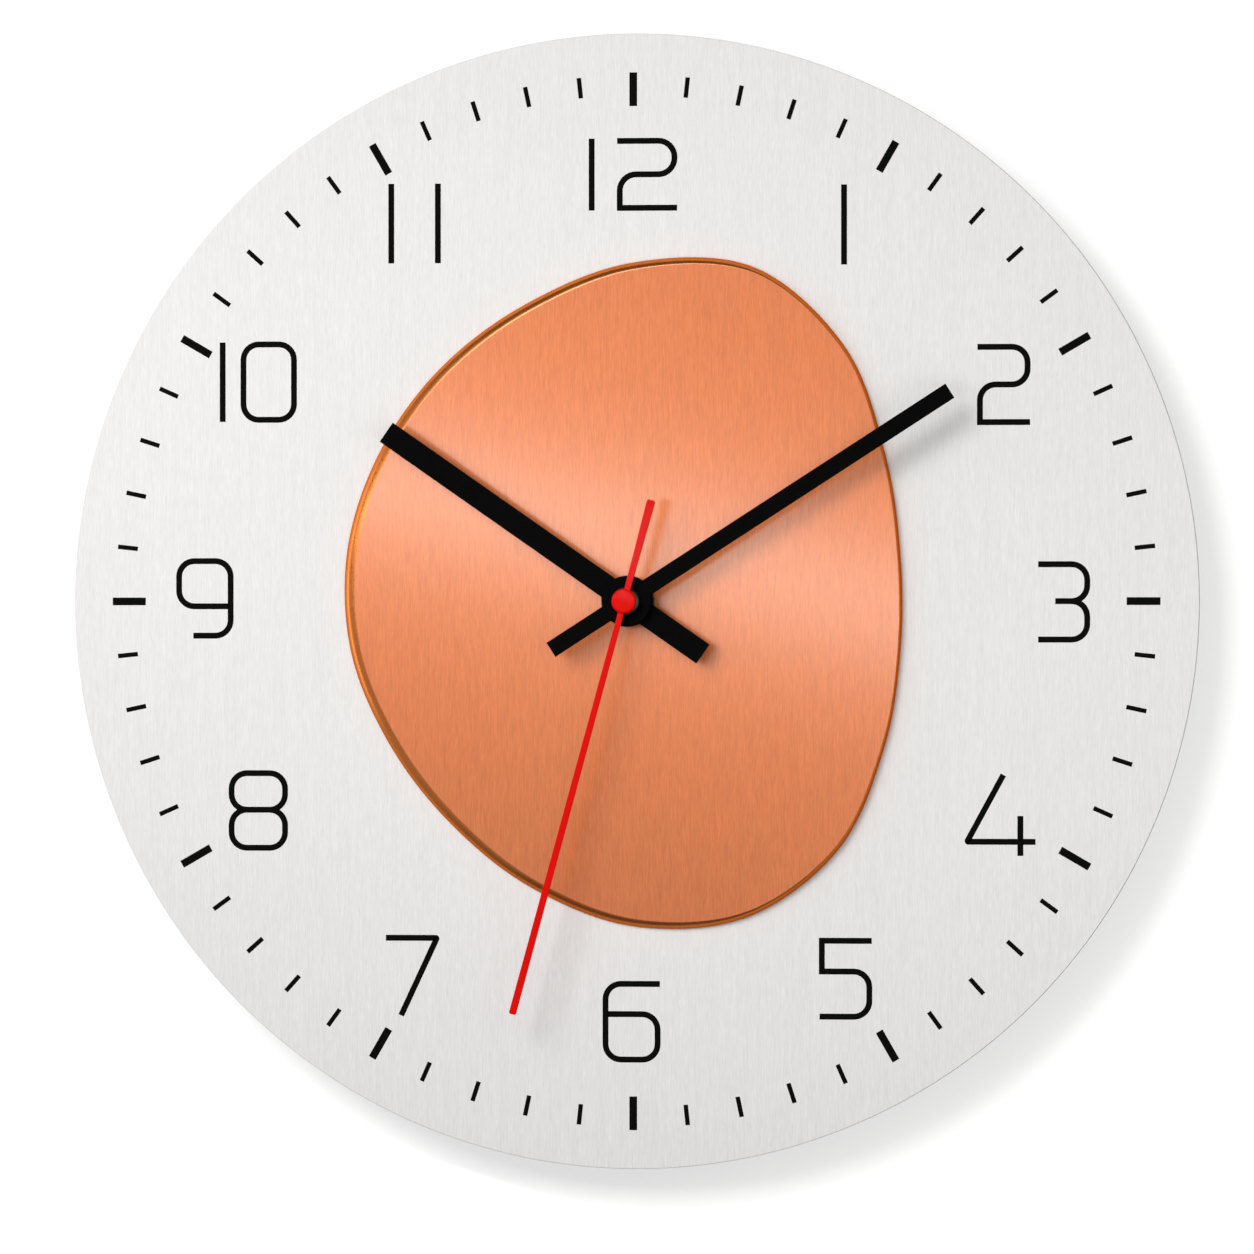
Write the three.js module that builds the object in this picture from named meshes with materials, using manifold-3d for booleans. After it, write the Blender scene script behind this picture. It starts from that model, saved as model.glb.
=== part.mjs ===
// Round wall clock: a brushed aluminium dial with an egg-shaped copper-coloured plate on it, three
// hands, and a battery quartz movement hung on a nail by a steel hanger.
// Everything is drawn in the clock's own face frame: x to the right, y up, z from the wall towards
// the viewer. The exported group stands that frame upright, so z becomes -Y and y becomes +Z.
// Millimetres throughout.

import * as THREE from 'three';
import * as BufferGeometryUtils from 'three/addons/utils/BufferGeometryUtils.js';
import Module from 'manifold-3d';

const wasm = await Module();
wasm.setup();

// ---------- driving dimensions ----------

// the time that the hands show
const shownHour = 10;
const shownMinute = 9;
const shownSecond = 32.55;

// clearances
const seat = 0.1;           // between two pieces that lie flat on each other
const slip = 0.1;           // round a piece that is pressed or dropped into a hole
const runFit = 0.12;        // round a turning piece
const pressFit = 0.05;      // round an arbor that a wheel, knob or hand is pressed on
const freeGap = 0.2;        // between the end of a turning piece and what it must not touch

// tubes and arbors on the hand axis, from the inside outwards
const secondArborRadius = 0.5;
const minutePipeWall = 0.98;
const hourPipeWall = 0.88;
const stemWall = 1.28;
const minutePipeRadius = secondArborRadius + runFit + minutePipeWall;
const hourPipeRadius = minutePipeRadius + runFit + hourPipeWall;
const stemBore = hourPipeRadius + runFit;
const stemRadius = stemBore + stemWall;
const stemHole = stemRadius + 2 * slip;   // in every plate that the stem passes through

// dial
const dialRadius = 150;
const dialThickness = 1.5;

// copper-coloured plate: how far its foot reaches from the hand axis, every 20 degrees clockwise
// from the top
const plateReach = [
  89.5, 93.8, 87.6, 77.4, 72.1, 72.2, 77.1, 85.2, 88.7,
  85.8, 80.4, 76.4, 75.4, 76.7, 77.7, 78.5, 80.4, 83.7,
];
const plateHeight = 3.0;
const plateWall = 0.9;
const plateSlope = 1.7;     // how far the side leans in, all round
const plateShift = 1.35;    // how far the face is shifted to the right of the foot
const padLength = 22;
const padWidth = 12;
const padDistance = 50;     // from the hand axis to each foam pad
const padCount = 4;
const spacerWidth = 4.8;

// movement case
const caseWall = 1.2;
const caseFrontWall = 1.0;
const caseCorner = 2.5;
const lidCorner = 1.0;
const lidThickness = 1.6;
const partition = 1.0;      // wall between the battery bay and the wheels
const trainBelow = 10.7;    // room for the wheels below the hand axis
const trainHeadroom = 0.5;  // in front of the foremost wheel

// cell and contacts
const cellRadius = 7.25;
const cellLength = 50.5;
const cellNubRadius = 2.75;
const cellNubHeight = 1.2;
const cellClearance = 0.3;
const cellBehind = 0.4;     // how far the cell stays inside the rear of the case
const contactThickness = 0.3;
const contactWidth = 5;
const contactReach = 4;     // past the cell's axis at one end and the board's edge at the other
const stripSlot = 0.7;      // slots in the partition that the contact strips pass through
const springRoom = 2.1;
const spring = { wire: 0.25, wide: 3.6, narrow: 2.0, turns: 2.5 };

// nut, washer, gasket and hanger
const stemBeyondNut = 1.0;
const nutWall = 1.4;
const nutThickness = 2.5;
const washerWidth = 2.0;
const washerThickness = 0.8;
const gasketWidth = 6.8;
const gasketThickness = 0.8;
const hangerThickness = 0.8;
const hangerWidth = 26;
const hangerFoot = 12;      // how far the hanger reaches below the hand axis
const hangerStandOff = 4.0; // room behind the hook for the nail's head
const hangerClear = 0.5;    // between the case's top and the hanger's step
const nailHeadHole = 5.0;   // radius
const nailSlot = 2.5;       // half width
const nailHeadMargin = 2.7; // from the step to the round hole
const nailTravel = 7.0;     // from the round hole's centre to the slot's end
const hookMargin = 4.0;     // steel above the slot

// hands
const handThickness = 0.5;
const hourHand = { reach: 78.3, tail: 24.4, width: 6.1, hub: 6.75 };
const minuteHand = { reach: 101.9, tail: 23.7, width: 4.4, hub: 6.55 };
const secondHand = { reach: 112.7, tail: 27.5, tipWidth: 1.95, neckWidth: 1.6, tailWidth: 2.3, hub: 2.2 };
const collet = { hourWall: 1.2, minuteWall: 1.3, height: 1.5 };
const colletLift = 1.5;     // from the stem's end to the hour collet
const pipeBeyondHand = 0.6; // how far the hour pipe stands out of its hand
const minuteNut = { radius: 3.75, height: 1.2 };
const secondCap = { radius: 3.25, height: 1.1, edge: 0.15 };
const secondTube = { wall: 0.6, height: 1.3 };
const secondClear = 0.3;    // between the minute nut and the second hand's tube

// wheel train: tooth counts, the distances between axes, and the directions of the axes
const teeth = {
  rotor: 8, intermediate: 40, intermediatePinion: 10, seconds: 60, secondsPinion: 8,
  third: 60, thirdPinion: 8, centre: 64, cannon: 10, minute: 30, minutePinion: 8, hour: 32,
};
const thirdDistance = 9.0;
const intermediateDistance = 8.75;
const rotorDistance = 6.0;  // from the intermediate wheel's axis
const thirdDirection = THREE.MathUtils.degToRad(20);
const intermediateDirection = THREE.MathUtils.degToRad(165);
const rotorDirection = THREE.MathUtils.degToRad(180);
const setterDirection = THREE.MathUtils.degToRad(100);

// shape of the teeth, in modules, and their half widths in pitches
const tooth = {
  addendum: 0.8, dedendum: 1.15,
  wheel: { tip: 0.11, root: 0.27 }, pinion: { tip: 0.09, root: 0.2 }, pinionTeeth: 12,
};
const pinRadius = 0.4;      // arbors of the wheels that turn between the lid and the middle plate
const setterArbor = 0.5;
const setterGap = 0.3;      // from the centre wheel's teeth to the knob's arbor
const knobRadius = 4.5;
const knobHeight = 2.2;
const knobBack = 0.3;
const knobFloor = 0.5;      // plastic behind the arbor's end
const knobClear = 0.5;
const knobRibs = 20;
const knobRibHeight = 0.4;

// wheels and plates from the lid forwards
const wheelThickness = 0.7;
const pinionExtra = 0.2;    // a pinion is this much longer than the wheel it drives, at each end
const bearingRadius = 1.3;
const bearingHeight = 1.4;
const pivotDepth = 1.1;
const middlePlateThickness = 1.0;
const intermediateZ = lidThickness + bearingHeight + 1.6;
const secondsZ = intermediateZ + wheelThickness + 0.9;
const thirdZ = secondsZ + wheelThickness + 0.9;
const middlePlateZ = thirdZ + wheelThickness + 0.5;
const centreZ = middlePlateZ + middlePlateThickness + 0.8;
const minuteWheelZ = centreZ + wheelThickness + 0.8;
const hourWheelZ = minuteWheelZ + wheelThickness + 0.6;

// coil and stator
const bobbin = { low: -6, high: 10, flange: 3.6, flangeWidth: 0.8, barrel: 2.3 };
const windingRadius = 3.3;
const core = { width: 3.0, thickness: 1.4, overhang: 2.3 };
const coilGap = 2.34;       // from the rotor's magnet to the bobbin
const statorThickness = 0.8;
const statorMargin = 1.0;   // steel past the rotor's hole
const statorWindow = 0.4;   // round the bobbin
const rotorMagnetRadius = 2.2;
const rotorMagnetHeight = 2.4;
const rotorGap = 0.4;
const magnetLift = 0.3;     // from the rotor's pinion to its magnet

// circuit board
const boardHeight = 9.3;
const boardThickness = 0.8;
const boardZ = 8.0;
const boardMargin = 0.5;
const chipHeight = 1.2;
const crystal = { radius: 1.0, length: 6, left: -22.5 };

// screws, posts and the pins on the posts' ends
const screwRadius = 0.8;
const screwHead = { radius: 1.7, height: 0.7, below: 0.15, clear: 0.2 };
const screwLength = 6;
const postRadius = 1.9;
const postPin = 0.9;
const pinStandOut = 0.3;    // how far a pin comes through its plate
const postMargin = 2.1;     // from a post's axis to the middle plate's edge
const postGap = 0.3;

// facets round a circle, by its radius
function facets(radius) {
  if (radius > 50) return 120;
  if (radius > 8) return 40;
  if (radius > 2.4) return 32;
  return radius > 1.2 ? 24 : 16;
}

// ---------- materials ----------

function finish(color, roughness, metalness) {
  return new THREE.MeshStandardMaterial({ color, roughness, metalness });
}

const brushedAluminium = finish(0xe6e4e2, 0.45, 1);
const copperAluminium = finish(0xe08a5c, 0.4, 1);
const blackPaint = finish(0x0c0c0c, 0.45, 0);
const redPaint = finish(0xdb0801, 0.3, 0);
const brass = finish(0xc9a24b, 0.3, 1);
const steel = finish(0xb8bbc0, 0.35, 1);
const blackPlastic = finish(0x18181a, 0.55, 0);
const whitePlastic = finish(0xe9e7df, 0.5, 0);
const rubber = finish(0x222222, 0.85, 0);
const foam = finish(0xf2f2ee, 0.9, 0);
const cellSleeve = finish(0x3f6f4c, 0.35, 0.3);
const boardGreen = finish(0x2c6b3c, 0.6, 0);
const copperWire = finish(0xb8632f, 0.35, 1);
const magnetGrey = finish(0x55565a, 0.4, 1);

// ---------- geometry helpers ----------

function circle(radius, x = 0, y = 0, steps = facets(radius)) {
  const points = [];
  for (let i = 0; i < steps; i++) {
    const a = (2 * Math.PI * i) / steps;
    points.push(new THREE.Vector2(x + radius * Math.cos(a), y + radius * Math.sin(a)));
  }
  return points;
}

function rectangle(x0, y0, x1, y1) {
  return [[x0, y0], [x1, y0], [x1, y1], [x0, y1]].map(([x, y]) => new THREE.Vector2(x, y));
}

function roundedRectangle(x0, y0, x1, y1, r, steps = 3) {
  const shape = new THREE.Shape();
  shape.absarc(x1 - r, y1 - r, r, 0, Math.PI / 2);
  shape.absarc(x0 + r, y1 - r, r, Math.PI / 2, Math.PI);
  shape.absarc(x0 + r, y0 + r, r, Math.PI, 1.5 * Math.PI);
  shape.absarc(x1 - r, y0 + r, r, 1.5 * Math.PI, 2 * Math.PI);
  return shape.getPoints(steps);
}

// a flat piece of the given outline, from z0 to z1
function slab(outline, z0, z1, holes = []) {
  const shape = new THREE.Shape(outline);
  shape.holes = holes.map((points) => new THREE.Path(points));
  const geometry = new THREE.ExtrudeGeometry(shape, { depth: z1 - z0, bevelEnabled: false });
  return geometry.translate(0, 0, z0);
}

// a round piece about the z axis, from pairs of radius and z that run up the outside
function turned(profile, steps) {
  const points = profile.map(([r, z]) => new THREE.Vector2(r, z));
  return new THREE.LatheGeometry(points, steps).rotateX(Math.PI / 2).rotateZ(Math.PI / 2);
}

function tube(outer, inner, z0, z1, steps = facets(outer)) {
  return turned([[inner, z0], [outer, z0], [outer, z1], [inner, z1], [inner, z0]], steps);
}

function rod(radius, z0, z1, steps = facets(radius)) {
  return turned([[0, z0], [radius, z0], [radius, z1], [0, z1]], steps);
}

function solid(geometry) {
  const bare = geometry.clone();
  bare.deleteAttribute('normal');
  bare.deleteAttribute('uv');
  const merged = BufferGeometryUtils.mergeVertices(bare, 1e-5);
  return new wasm.Manifold(new wasm.Mesh({
    numProp: 3,
    vertProperties: new Float32Array(merged.attributes.position.array),
    triVerts: new Uint32Array(merged.index.array),
  }));
}

function geometryOf(manifold) {
  const mesh = manifold.getMesh();
  const geometry = new THREE.BufferGeometry();
  geometry.setAttribute('position', new THREE.BufferAttribute(mesh.vertProperties, 3));
  geometry.setIndex(new THREE.BufferAttribute(mesh.triVerts, 1));
  return geometry;
}

function join(first, ...others) {
  return geometryOf(others.reduce((all, g) => all.add(solid(g)), solid(first)));
}

function cut(first, ...others) {
  return geometryOf(others.reduce((all, g) => all.subtract(solid(g)), solid(first)));
}

const clock = new THREE.Group();

function addPiece(name, geometry, material, parent = clock) {
  const mesh = new THREE.Mesh(geometry, material);
  mesh.name = name;
  parent.add(mesh);
  return mesh;
}

// ---------- places along the hand axis ----------

// the case is as deep as its cell or its wheels need
const innerFront = Math.max(
  2 * cellRadius + seat + cellBehind,
  hourWheelZ + wheelThickness + pinionExtra + trainHeadroom);
const caseFront = innerFront + caseFrontWall;
const hangerBack = caseFront + seat;
const gasketBack = hangerBack + hangerThickness + seat;
const dialBack = gasketBack + gasketThickness + seat;
const dialFront = dialBack + dialThickness;
const plateFoot = dialFront + seat;
const plateFace = plateFoot + plateHeight;
const washerBack = plateFace + seat;
const nutBack = washerBack + washerThickness + seat;
const stemEnd = nutBack + nutThickness + stemBeyondNut;
const hourHandZ = stemEnd + colletLift + collet.height + seat;
const hourPipeEnd = hourHandZ + handThickness + pipeBeyondHand;
const minuteHandZ = hourPipeEnd + freeGap + collet.height + seat;
const minuteNutZ = minuteHandZ + handThickness + seat;
const minutePipeEnd = minuteNutZ + minuteNut.height - seat;
const secondHandZ = minuteNutZ + minuteNut.height + secondClear + secondTube.height + seat;
const secondArborEnd = secondHandZ + handThickness;

const minuteAngle = (shownMinute + shownSecond / 60) * 6;
const hourAngle = shownHour * 30 + minuteAngle / 12;
const secondAngle = shownSecond * 6;

// ---------- dial ----------

addPiece('dial_plate', slab(circle(dialRadius), dialBack, dialFront, [circle(stemHole)]),
  brushedAluminium);

// ---------- copper-coloured plate ----------

// its foot: a smooth closed curve through the reach in each direction, anticlockwise
const reachPoints = plateReach.map((reach, i) => {
  const a = (2 * Math.PI * i) / plateReach.length;
  return new THREE.Vector3(reach * Math.sin(a), reach * Math.cos(a), 0);
});
const footCurve = new THREE.CatmullRomCurve3(reachPoints.reverse(), true, 'catmullrom', 0.5);
const footSteps = 96;
const foot = footCurve.getSpacedPoints(footSteps).slice(0, -1).map((p) => new THREE.Vector2(p.x, p.y));

function inset(outline, distance, shift = 0) {
  return outline.map((point, i) => {
    const before = outline.at(i - 1);
    const after = outline[(i + 1) % outline.length];
    const along = after.clone().sub(before).normalize();
    const inwards = new THREE.Vector2(-along.y, along.x);
    return point.clone().addScaledVector(inwards, distance).add(new THREE.Vector2(shift, 0));
  });
}

// a slab whose top outline differs from its foot's, point for point
function leaningSlab(base, top, z0, z1) {
  const geometry = slab(base, z0, z1);
  const position = geometry.attributes.position;
  for (let i = 0; i < position.count; i++) {
    if (position.getZ(i) < (z0 + z1) / 2) continue;
    const vertex = new THREE.Vector2(position.getX(i), position.getY(i));
    const nearest = base.findIndex((point) => point.distanceTo(vertex) < 1e-3);
    position.setXY(i, top[nearest].x, top[nearest].y);
  }
  return geometry;
}

const plateTop = inset(foot, plateSlope, plateShift);
const plateUnderside = plateFace - plateWall;
const plateSolid = leaningSlab(foot, plateTop, plateFoot, plateFace);
const plateHollow = leaningSlab(inset(foot, plateWall), inset(plateTop, plateWall),
  plateFoot - seat, plateUnderside);
addPiece('accent_plate',
  cut(plateSolid, plateHollow, rod(stemHole, plateFoot, plateFace + 1)), copperAluminium);

addPiece('plate_spacer', tube(stemHole + spacerWidth, stemHole, plateFoot, plateUnderside - seat), brass);

for (let i = 0; i < padCount; i++) {
  const pad = addPiece(`foam_pad_${i + 1}`,
    slab(rectangle(-padLength / 2, -padWidth / 2, padLength / 2, padWidth / 2),
      plateFoot, plateUnderside - seat), foam);
  const a = (2 * Math.PI * (i + 0.5)) / padCount;
  pad.position.set(padDistance * Math.cos(a), padDistance * Math.sin(a), 0);
}

// ---------- stem, nut, washer, gasket ----------

addPiece('threaded_stem', tube(stemRadius, stemBore, caseFront - caseFrontWall, stemEnd), brass);
addPiece('stem_gasket', tube(stemHole + gasketWidth, stemHole, gasketBack, gasketBack + gasketThickness),
  rubber);
addPiece('stem_washer', tube(stemHole + washerWidth, stemHole, washerBack, washerBack + washerThickness),
  brass);

// a hexagon, from the bore and the wall left at the middle of each flat
const nutBore = stemRadius + slip;
const nutOutline = circle((nutBore + nutWall) / Math.cos(Math.PI / 6), 0, 0, 6);
addPiece('stem_nut', slab(nutOutline, nutBack, nutBack + nutThickness, [circle(nutBore)]), brass);

// ---------- places in the movement ----------

function polar(distance, direction, from = new THREE.Vector2()) {
  return new THREE.Vector2(
    from.x + distance * Math.cos(direction), from.y + distance * Math.sin(direction));
}

const centre = new THREE.Vector2();
const thirdAxis = polar(thirdDistance, thirdDirection);
const intermediateAxis = polar(intermediateDistance, intermediateDirection);
const rotorAxis = polar(rotorDistance, rotorDirection, intermediateAxis);

// pitch radii, from the distances between axes
function pitchRadius(count, partner, distance) {
  return (distance * count) / (count + partner);
}

// the knob's arbor passes just outside the teeth of the centre wheel
const centreRadius = pitchRadius(teeth.centre, teeth.thirdPinion, thirdDistance);
const centreTip = centreRadius * (1 + (2 * tooth.addendum) / teeth.centre);
const setterDistance = centreTip + setterGap + setterArbor;
const setterAxis = polar(setterDistance, setterDirection);

// coil to the left of the rotor, its core level with the middle of the magnet
const coilX = rotorAxis.x - rotorMagnetRadius - coilGap - bobbin.flange;
const coreLow = bobbin.low - core.overhang;
const coreHigh = bobbin.high + core.overhang;
const rotorPinionHigh = intermediateZ + wheelThickness + pinionExtra;
const magnetLow = rotorPinionHigh + magnetLift;
const statorTop = magnetLow + (rotorMagnetHeight + statorThickness) / 2;
const coilZ = statorTop + seat + core.thickness / 2;

// the case is as wide as its cell with the contacts, or the coil beside a contact, needs
const contactRoom = seat + contactThickness;
const innerX = Math.max(
  (cellLength + springRoom) / 2 + contactRoom + seat,
  -coilX + bobbin.flange + 2 * slip + contactRoom);
const halfWidth = innerX + caseWall;

// from the bottom up: battery bay, wheels, screw post, circuit board
const trainLow = -trainBelow;
const bayHigh = trainLow - partition;
const bayLow = bayHigh - 2 * (cellRadius + cellClearance);
const caseBottom = bayLow - caseWall;
const screwPostY = coreHigh + 2 * postGap + postRadius;
const boardLow = screwPostY + postRadius + postGap;
const trainHigh = boardLow + boardHeight + boardMargin;
const caseTop = trainHigh + caseWall;
const lidLow = bayHigh + partition / 2;
const boardX = innerX - contactRoom - 2 * seat;

const lidScrews = [new THREE.Vector2(-14, screwPostY), new THREE.Vector2(22.5, 3)];
const platePosts = [
  new THREE.Vector2(17.5, -6), new THREE.Vector2(-15.5, -6.5), new THREE.Vector2(14, 10.6)];
const boardMiddle = boardLow + boardHeight / 2;
const boardPosts = [new THREE.Vector2(-12, boardMiddle), new THREE.Vector2(12, boardMiddle)];

// ---------- hanger ----------

// a steel strip that lies on the case, steps back over its top, and stands up as the hook
const hookFront = hangerStandOff + hangerThickness;
const hangerFront = hangerBack + hangerThickness;
const stepLow = caseTop + hangerClear;
const stepHigh = stepLow + hangerThickness;
const nailHeadY = stepHigh + nailHeadMargin + nailHeadHole;
const nailSlotY = nailHeadY + nailTravel;
const hangerTop = nailSlotY + nailSlot + hookMargin;
const hangerSection = [
  [-hangerFoot, hangerBack], [stepLow, hangerBack], [stepLow, hangerStandOff],
  [hangerTop, hangerStandOff], [hangerTop, hookFront], [stepHigh, hookFront],
  [stepHigh, hangerFront], [-hangerFoot, hangerFront],
].map(([y, z]) => new THREE.Vector2(y, z));
// drawn in the y-z plane and extruded along x
const hangerStrip = new THREE.ExtrudeGeometry(new THREE.Shape(hangerSection),
  { depth: hangerWidth, bevelEnabled: false });
hangerStrip.applyMatrix4(new THREE.Matrix4().set(
  0, 0, 1, -hangerWidth / 2,
  1, 0, 0, 0,
  0, 1, 0, 0,
  0, 0, 0, 1,
));
addPiece('hanger_plate', cut(hangerStrip,
  rod(stemHole, hangerBack - 1, hangerFront + 1),
  slab(circle(nailHeadHole, 0, nailHeadY), hangerStandOff - 1, hookFront + 1),
  slab(rectangle(-nailSlot, nailHeadY, nailSlot, nailSlotY), hangerStandOff - 1, hookFront + 1),
  slab(circle(nailSlot, 0, nailSlotY), hangerStandOff - 1, hookFront + 1)), steel);

// ---------- case front: the tray that holds everything, with the battery bay ----------

const tray = cut(
  slab(roundedRectangle(-halfWidth, caseBottom, halfWidth, caseTop, caseCorner), 0, caseFront),
  slab(rectangle(-halfWidth - 1, lidLow, halfWidth + 1, caseTop + 1), -1, lidThickness + seat),
  slab(rectangle(-innerX, trainLow, innerX, trainHigh), -1, innerFront),
  slab(rectangle(-innerX, bayLow, innerX, bayHigh), -1, innerFront),
  slab(circle(stemRadius + slip), innerFront - 1, caseFront + 1),
  ...[-1, 1].map((side) => {
    const x = side * (innerX - stripSlot / 2);
    return slab(rectangle(x - stripSlot / 2, bayHigh - 1, x + stripSlot / 2, trainLow + 1), -1, innerFront);
  }),
);
// every post stands on the front wall, and a pin on its end goes through the plate that it carries
const postRoot = innerFront + caseFrontWall / 2;
function post(p, end) {
  return slab(circle(postRadius, p.x, p.y), end, postRoot);
}
function pin(p, end) {
  return slab(circle(postPin, p.x, p.y), end, postRoot);
}
const posts = [
  ...lidScrews.map((p) => slab(circle(postRadius, p.x, p.y), lidThickness + 2 * seat, postRoot,
    [circle(screwRadius + slip, p.x, p.y)])),
  ...platePosts.map((p) => post(p, middlePlateZ + middlePlateThickness + seat)),
  ...platePosts.map((p) => pin(p, middlePlateZ - pinStandOut)),
  ...boardPosts.map((p) => post(p, boardZ + boardThickness + seat)),
  ...boardPosts.map((p) => pin(p, boardZ - pinStandOut)),
];
addPiece('case_front', join(tray, ...posts), blackPlastic);

// ---------- case rear: the lid over the wheels, with bearings and the knob's hole ----------

const bearingAxes = [centre, thirdAxis, intermediateAxis, rotorAxis];
const bearingRadii = [secondArborRadius, pinRadius, pinRadius, pinRadius];
const lidOutline = roundedRectangle(-halfWidth, lidLow + seat, halfWidth, caseTop, lidCorner);
const bearingTop = lidThickness + bearingHeight;
const lid = join(slab(lidOutline, 0, lidThickness),
  ...bearingAxes.map((p) => slab(circle(bearingRadius, p.x, p.y), lidThickness / 2, bearingTop)));
const screwHeadTop = screwHead.below + screwHead.height;
addPiece('case_rear', cut(lid,
  slab(circle(knobRadius + knobClear, setterAxis.x, setterAxis.y), -1, lidThickness + 1),
  ...bearingAxes.map((p, i) => slab(circle(bearingRadii[i] + runFit, p.x, p.y),
    bearingTop - pivotDepth, bearingTop + 1)),
  ...lidScrews.map((p) => slab(circle(screwHead.radius + screwHead.clear, p.x, p.y),
    -1, screwHeadTop + seat)),
  ...lidScrews.map((p) => slab(circle(screwRadius + slip, p.x, p.y), -1, lidThickness + 1))),
blackPlastic);

lidScrews.forEach((p, i) => {
  const end = screwHeadTop + screwLength;
  const screw = addPiece(`case_screw_${i + 1}`, turned([
    [0, screwHead.below], [screwHead.radius, screwHead.below], [screwHead.radius, screwHeadTop],
    [screwRadius, screwHeadTop], [screwRadius, end], [0, end + screwRadius],
  ], facets(screwHead.radius)), steel);
  screw.position.set(p.x, p.y, 0);
});

// ---------- middle plate: carries the front bearings of the train ----------

const postBox = new THREE.Box2().setFromPoints(platePosts).expandByScalar(postMargin);
const middleOutline = roundedRectangle(postBox.min.x, postBox.min.y, postBox.max.x, postBox.max.y, 2);
addPiece('middle_plate', slab(middleOutline, middlePlateZ, middlePlateZ + middlePlateThickness, [
  circle(secondArborRadius + runFit),
  circle(pinRadius + runFit, thirdAxis.x, thirdAxis.y),
  circle(pinRadius + runFit, intermediateAxis.x, intermediateAxis.y),
  circle(pinRadius + runFit, rotorAxis.x, rotorAxis.y),
  circle(setterArbor + runFit, setterAxis.x, setterAxis.y),
  ...platePosts.map((p) => circle(postPin + slip, p.x, p.y)),
]), whitePlastic);

// ---------- cell and contacts ----------

const cellY = bayLow + cellClearance + cellRadius;
const cellZ = innerFront - seat - cellRadius;
const cellTip = innerX - contactRoom - 2 * seat;
const cellTail = cellTip - cellLength;
const cellBody = cellLength - cellNubHeight;
const cellRim = 0.5;
const cell = turned([
  [0, 0], [cellRadius - cellRim, 0], [cellRadius, cellRim], [cellRadius, cellBody - cellRim],
  [cellRadius - cellRim, cellBody], [cellNubRadius, cellBody], [cellNubRadius, cellLength], [0, cellLength],
], facets(cellRadius)).rotateY(Math.PI / 2);
addPiece('battery_cell', cell, cellSleeve).position.set(cellTail, cellY, cellZ);

const contactLow = cellY - contactReach;
const contactHigh = boardLow + contactReach;
function contactStrip(side) {
  const x = side * (innerX - seat - contactThickness / 2);
  const strip = new THREE.BoxGeometry(contactThickness, contactHigh - contactLow, contactWidth);
  return strip.translate(x, (contactLow + contactHigh) / 2, cellZ);
}
addPiece('contact_positive', contactStrip(1), steel);
addPiece('contact_negative', contactStrip(-1), steel);

// conical spring between the strip and the cell's flat end
class ConeHelix extends THREE.Curve {
  constructor(x0, x1, r0, r1, turns) {
    super();
    Object.assign(this, { x0, x1, r0, r1, turns });
  }

  getPoint(t, target = new THREE.Vector3()) {
    const r = this.r0 + (this.r1 - this.r0) * t;
    const a = 2 * Math.PI * this.turns * t;
    return target.set(this.x0 + (this.x1 - this.x0) * t, r * Math.cos(a), r * Math.sin(a));
  }
}
const springFrom = -innerX + contactRoom + seat + spring.wire;
const springTo = cellTail - seat - spring.wire;
const springPath = new ConeHelix(springFrom, springTo, spring.wide, spring.narrow, spring.turns);
const springSolid = new THREE.ExtrudeGeometry(new THREE.Shape(circle(spring.wire, 0, 0, 6)),
  { steps: 36, bevelEnabled: false, extrudePath: springPath });
addPiece('contact_spring', springSolid, steel).position.set(0, cellY, cellZ);

// ---------- circuit board, chip and crystal ----------

addPiece('circuit_board', slab(rectangle(-boardX, boardLow, boardX, boardLow + boardHeight),
  boardZ, boardZ + boardThickness, boardPosts.map((p) => circle(postPin + slip, p.x, p.y))), boardGreen);
// the chip is a low dome of resin
const chip = turned([[0, 0], [2.0, 0.2], [2.6, 0.8], [2.7, chipHeight], [0, chipHeight]], 24);
addPiece('control_chip', chip, blackPlastic).position.set(0, boardMiddle, boardZ - seat - chipHeight);
const crystalCan = rod(crystal.radius, 0, crystal.length).rotateY(Math.PI / 2);
addPiece('quartz_crystal', crystalCan, steel)
  .position.set(crystal.left, boardMiddle, boardZ - seat - crystal.radius);

// ---------- coil, core and stator ----------

// the coil's parts are turned about an axis along y
function alongY(geometry) {
  return geometry.rotateX(-Math.PI / 2).translate(coilX, 0, coilZ);
}
const inFlange = bobbin.flangeWidth;
const reel = alongY(turned([
  [0, bobbin.low], [bobbin.flange, bobbin.low], [bobbin.flange, bobbin.low + inFlange],
  [bobbin.barrel, bobbin.low + inFlange], [bobbin.barrel, bobbin.high - inFlange],
  [bobbin.flange, bobbin.high - inFlange], [bobbin.flange, bobbin.high], [0, bobbin.high],
], facets(bobbin.flange)));
const coreSlot = new THREE.BoxGeometry(
  core.width + 2 * slip, bobbin.high - bobbin.low + 2, core.thickness + 2 * slip)
  .translate(coilX, (bobbin.low + bobbin.high) / 2, coilZ);
addPiece('coil_bobbin', cut(reel, coreSlot), whitePlastic);
addPiece('coil_winding', alongY(tube(windingRadius, bobbin.barrel + slip,
  bobbin.low + inFlange + slip, bobbin.high - inFlange - slip)), copperWire);
addPiece('coil_core', slab(
  rectangle(coilX - core.width / 2, coreLow, coilX + core.width / 2, coreHigh),
  coilZ - core.thickness / 2, coilZ + core.thickness / 2), steel);

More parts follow.
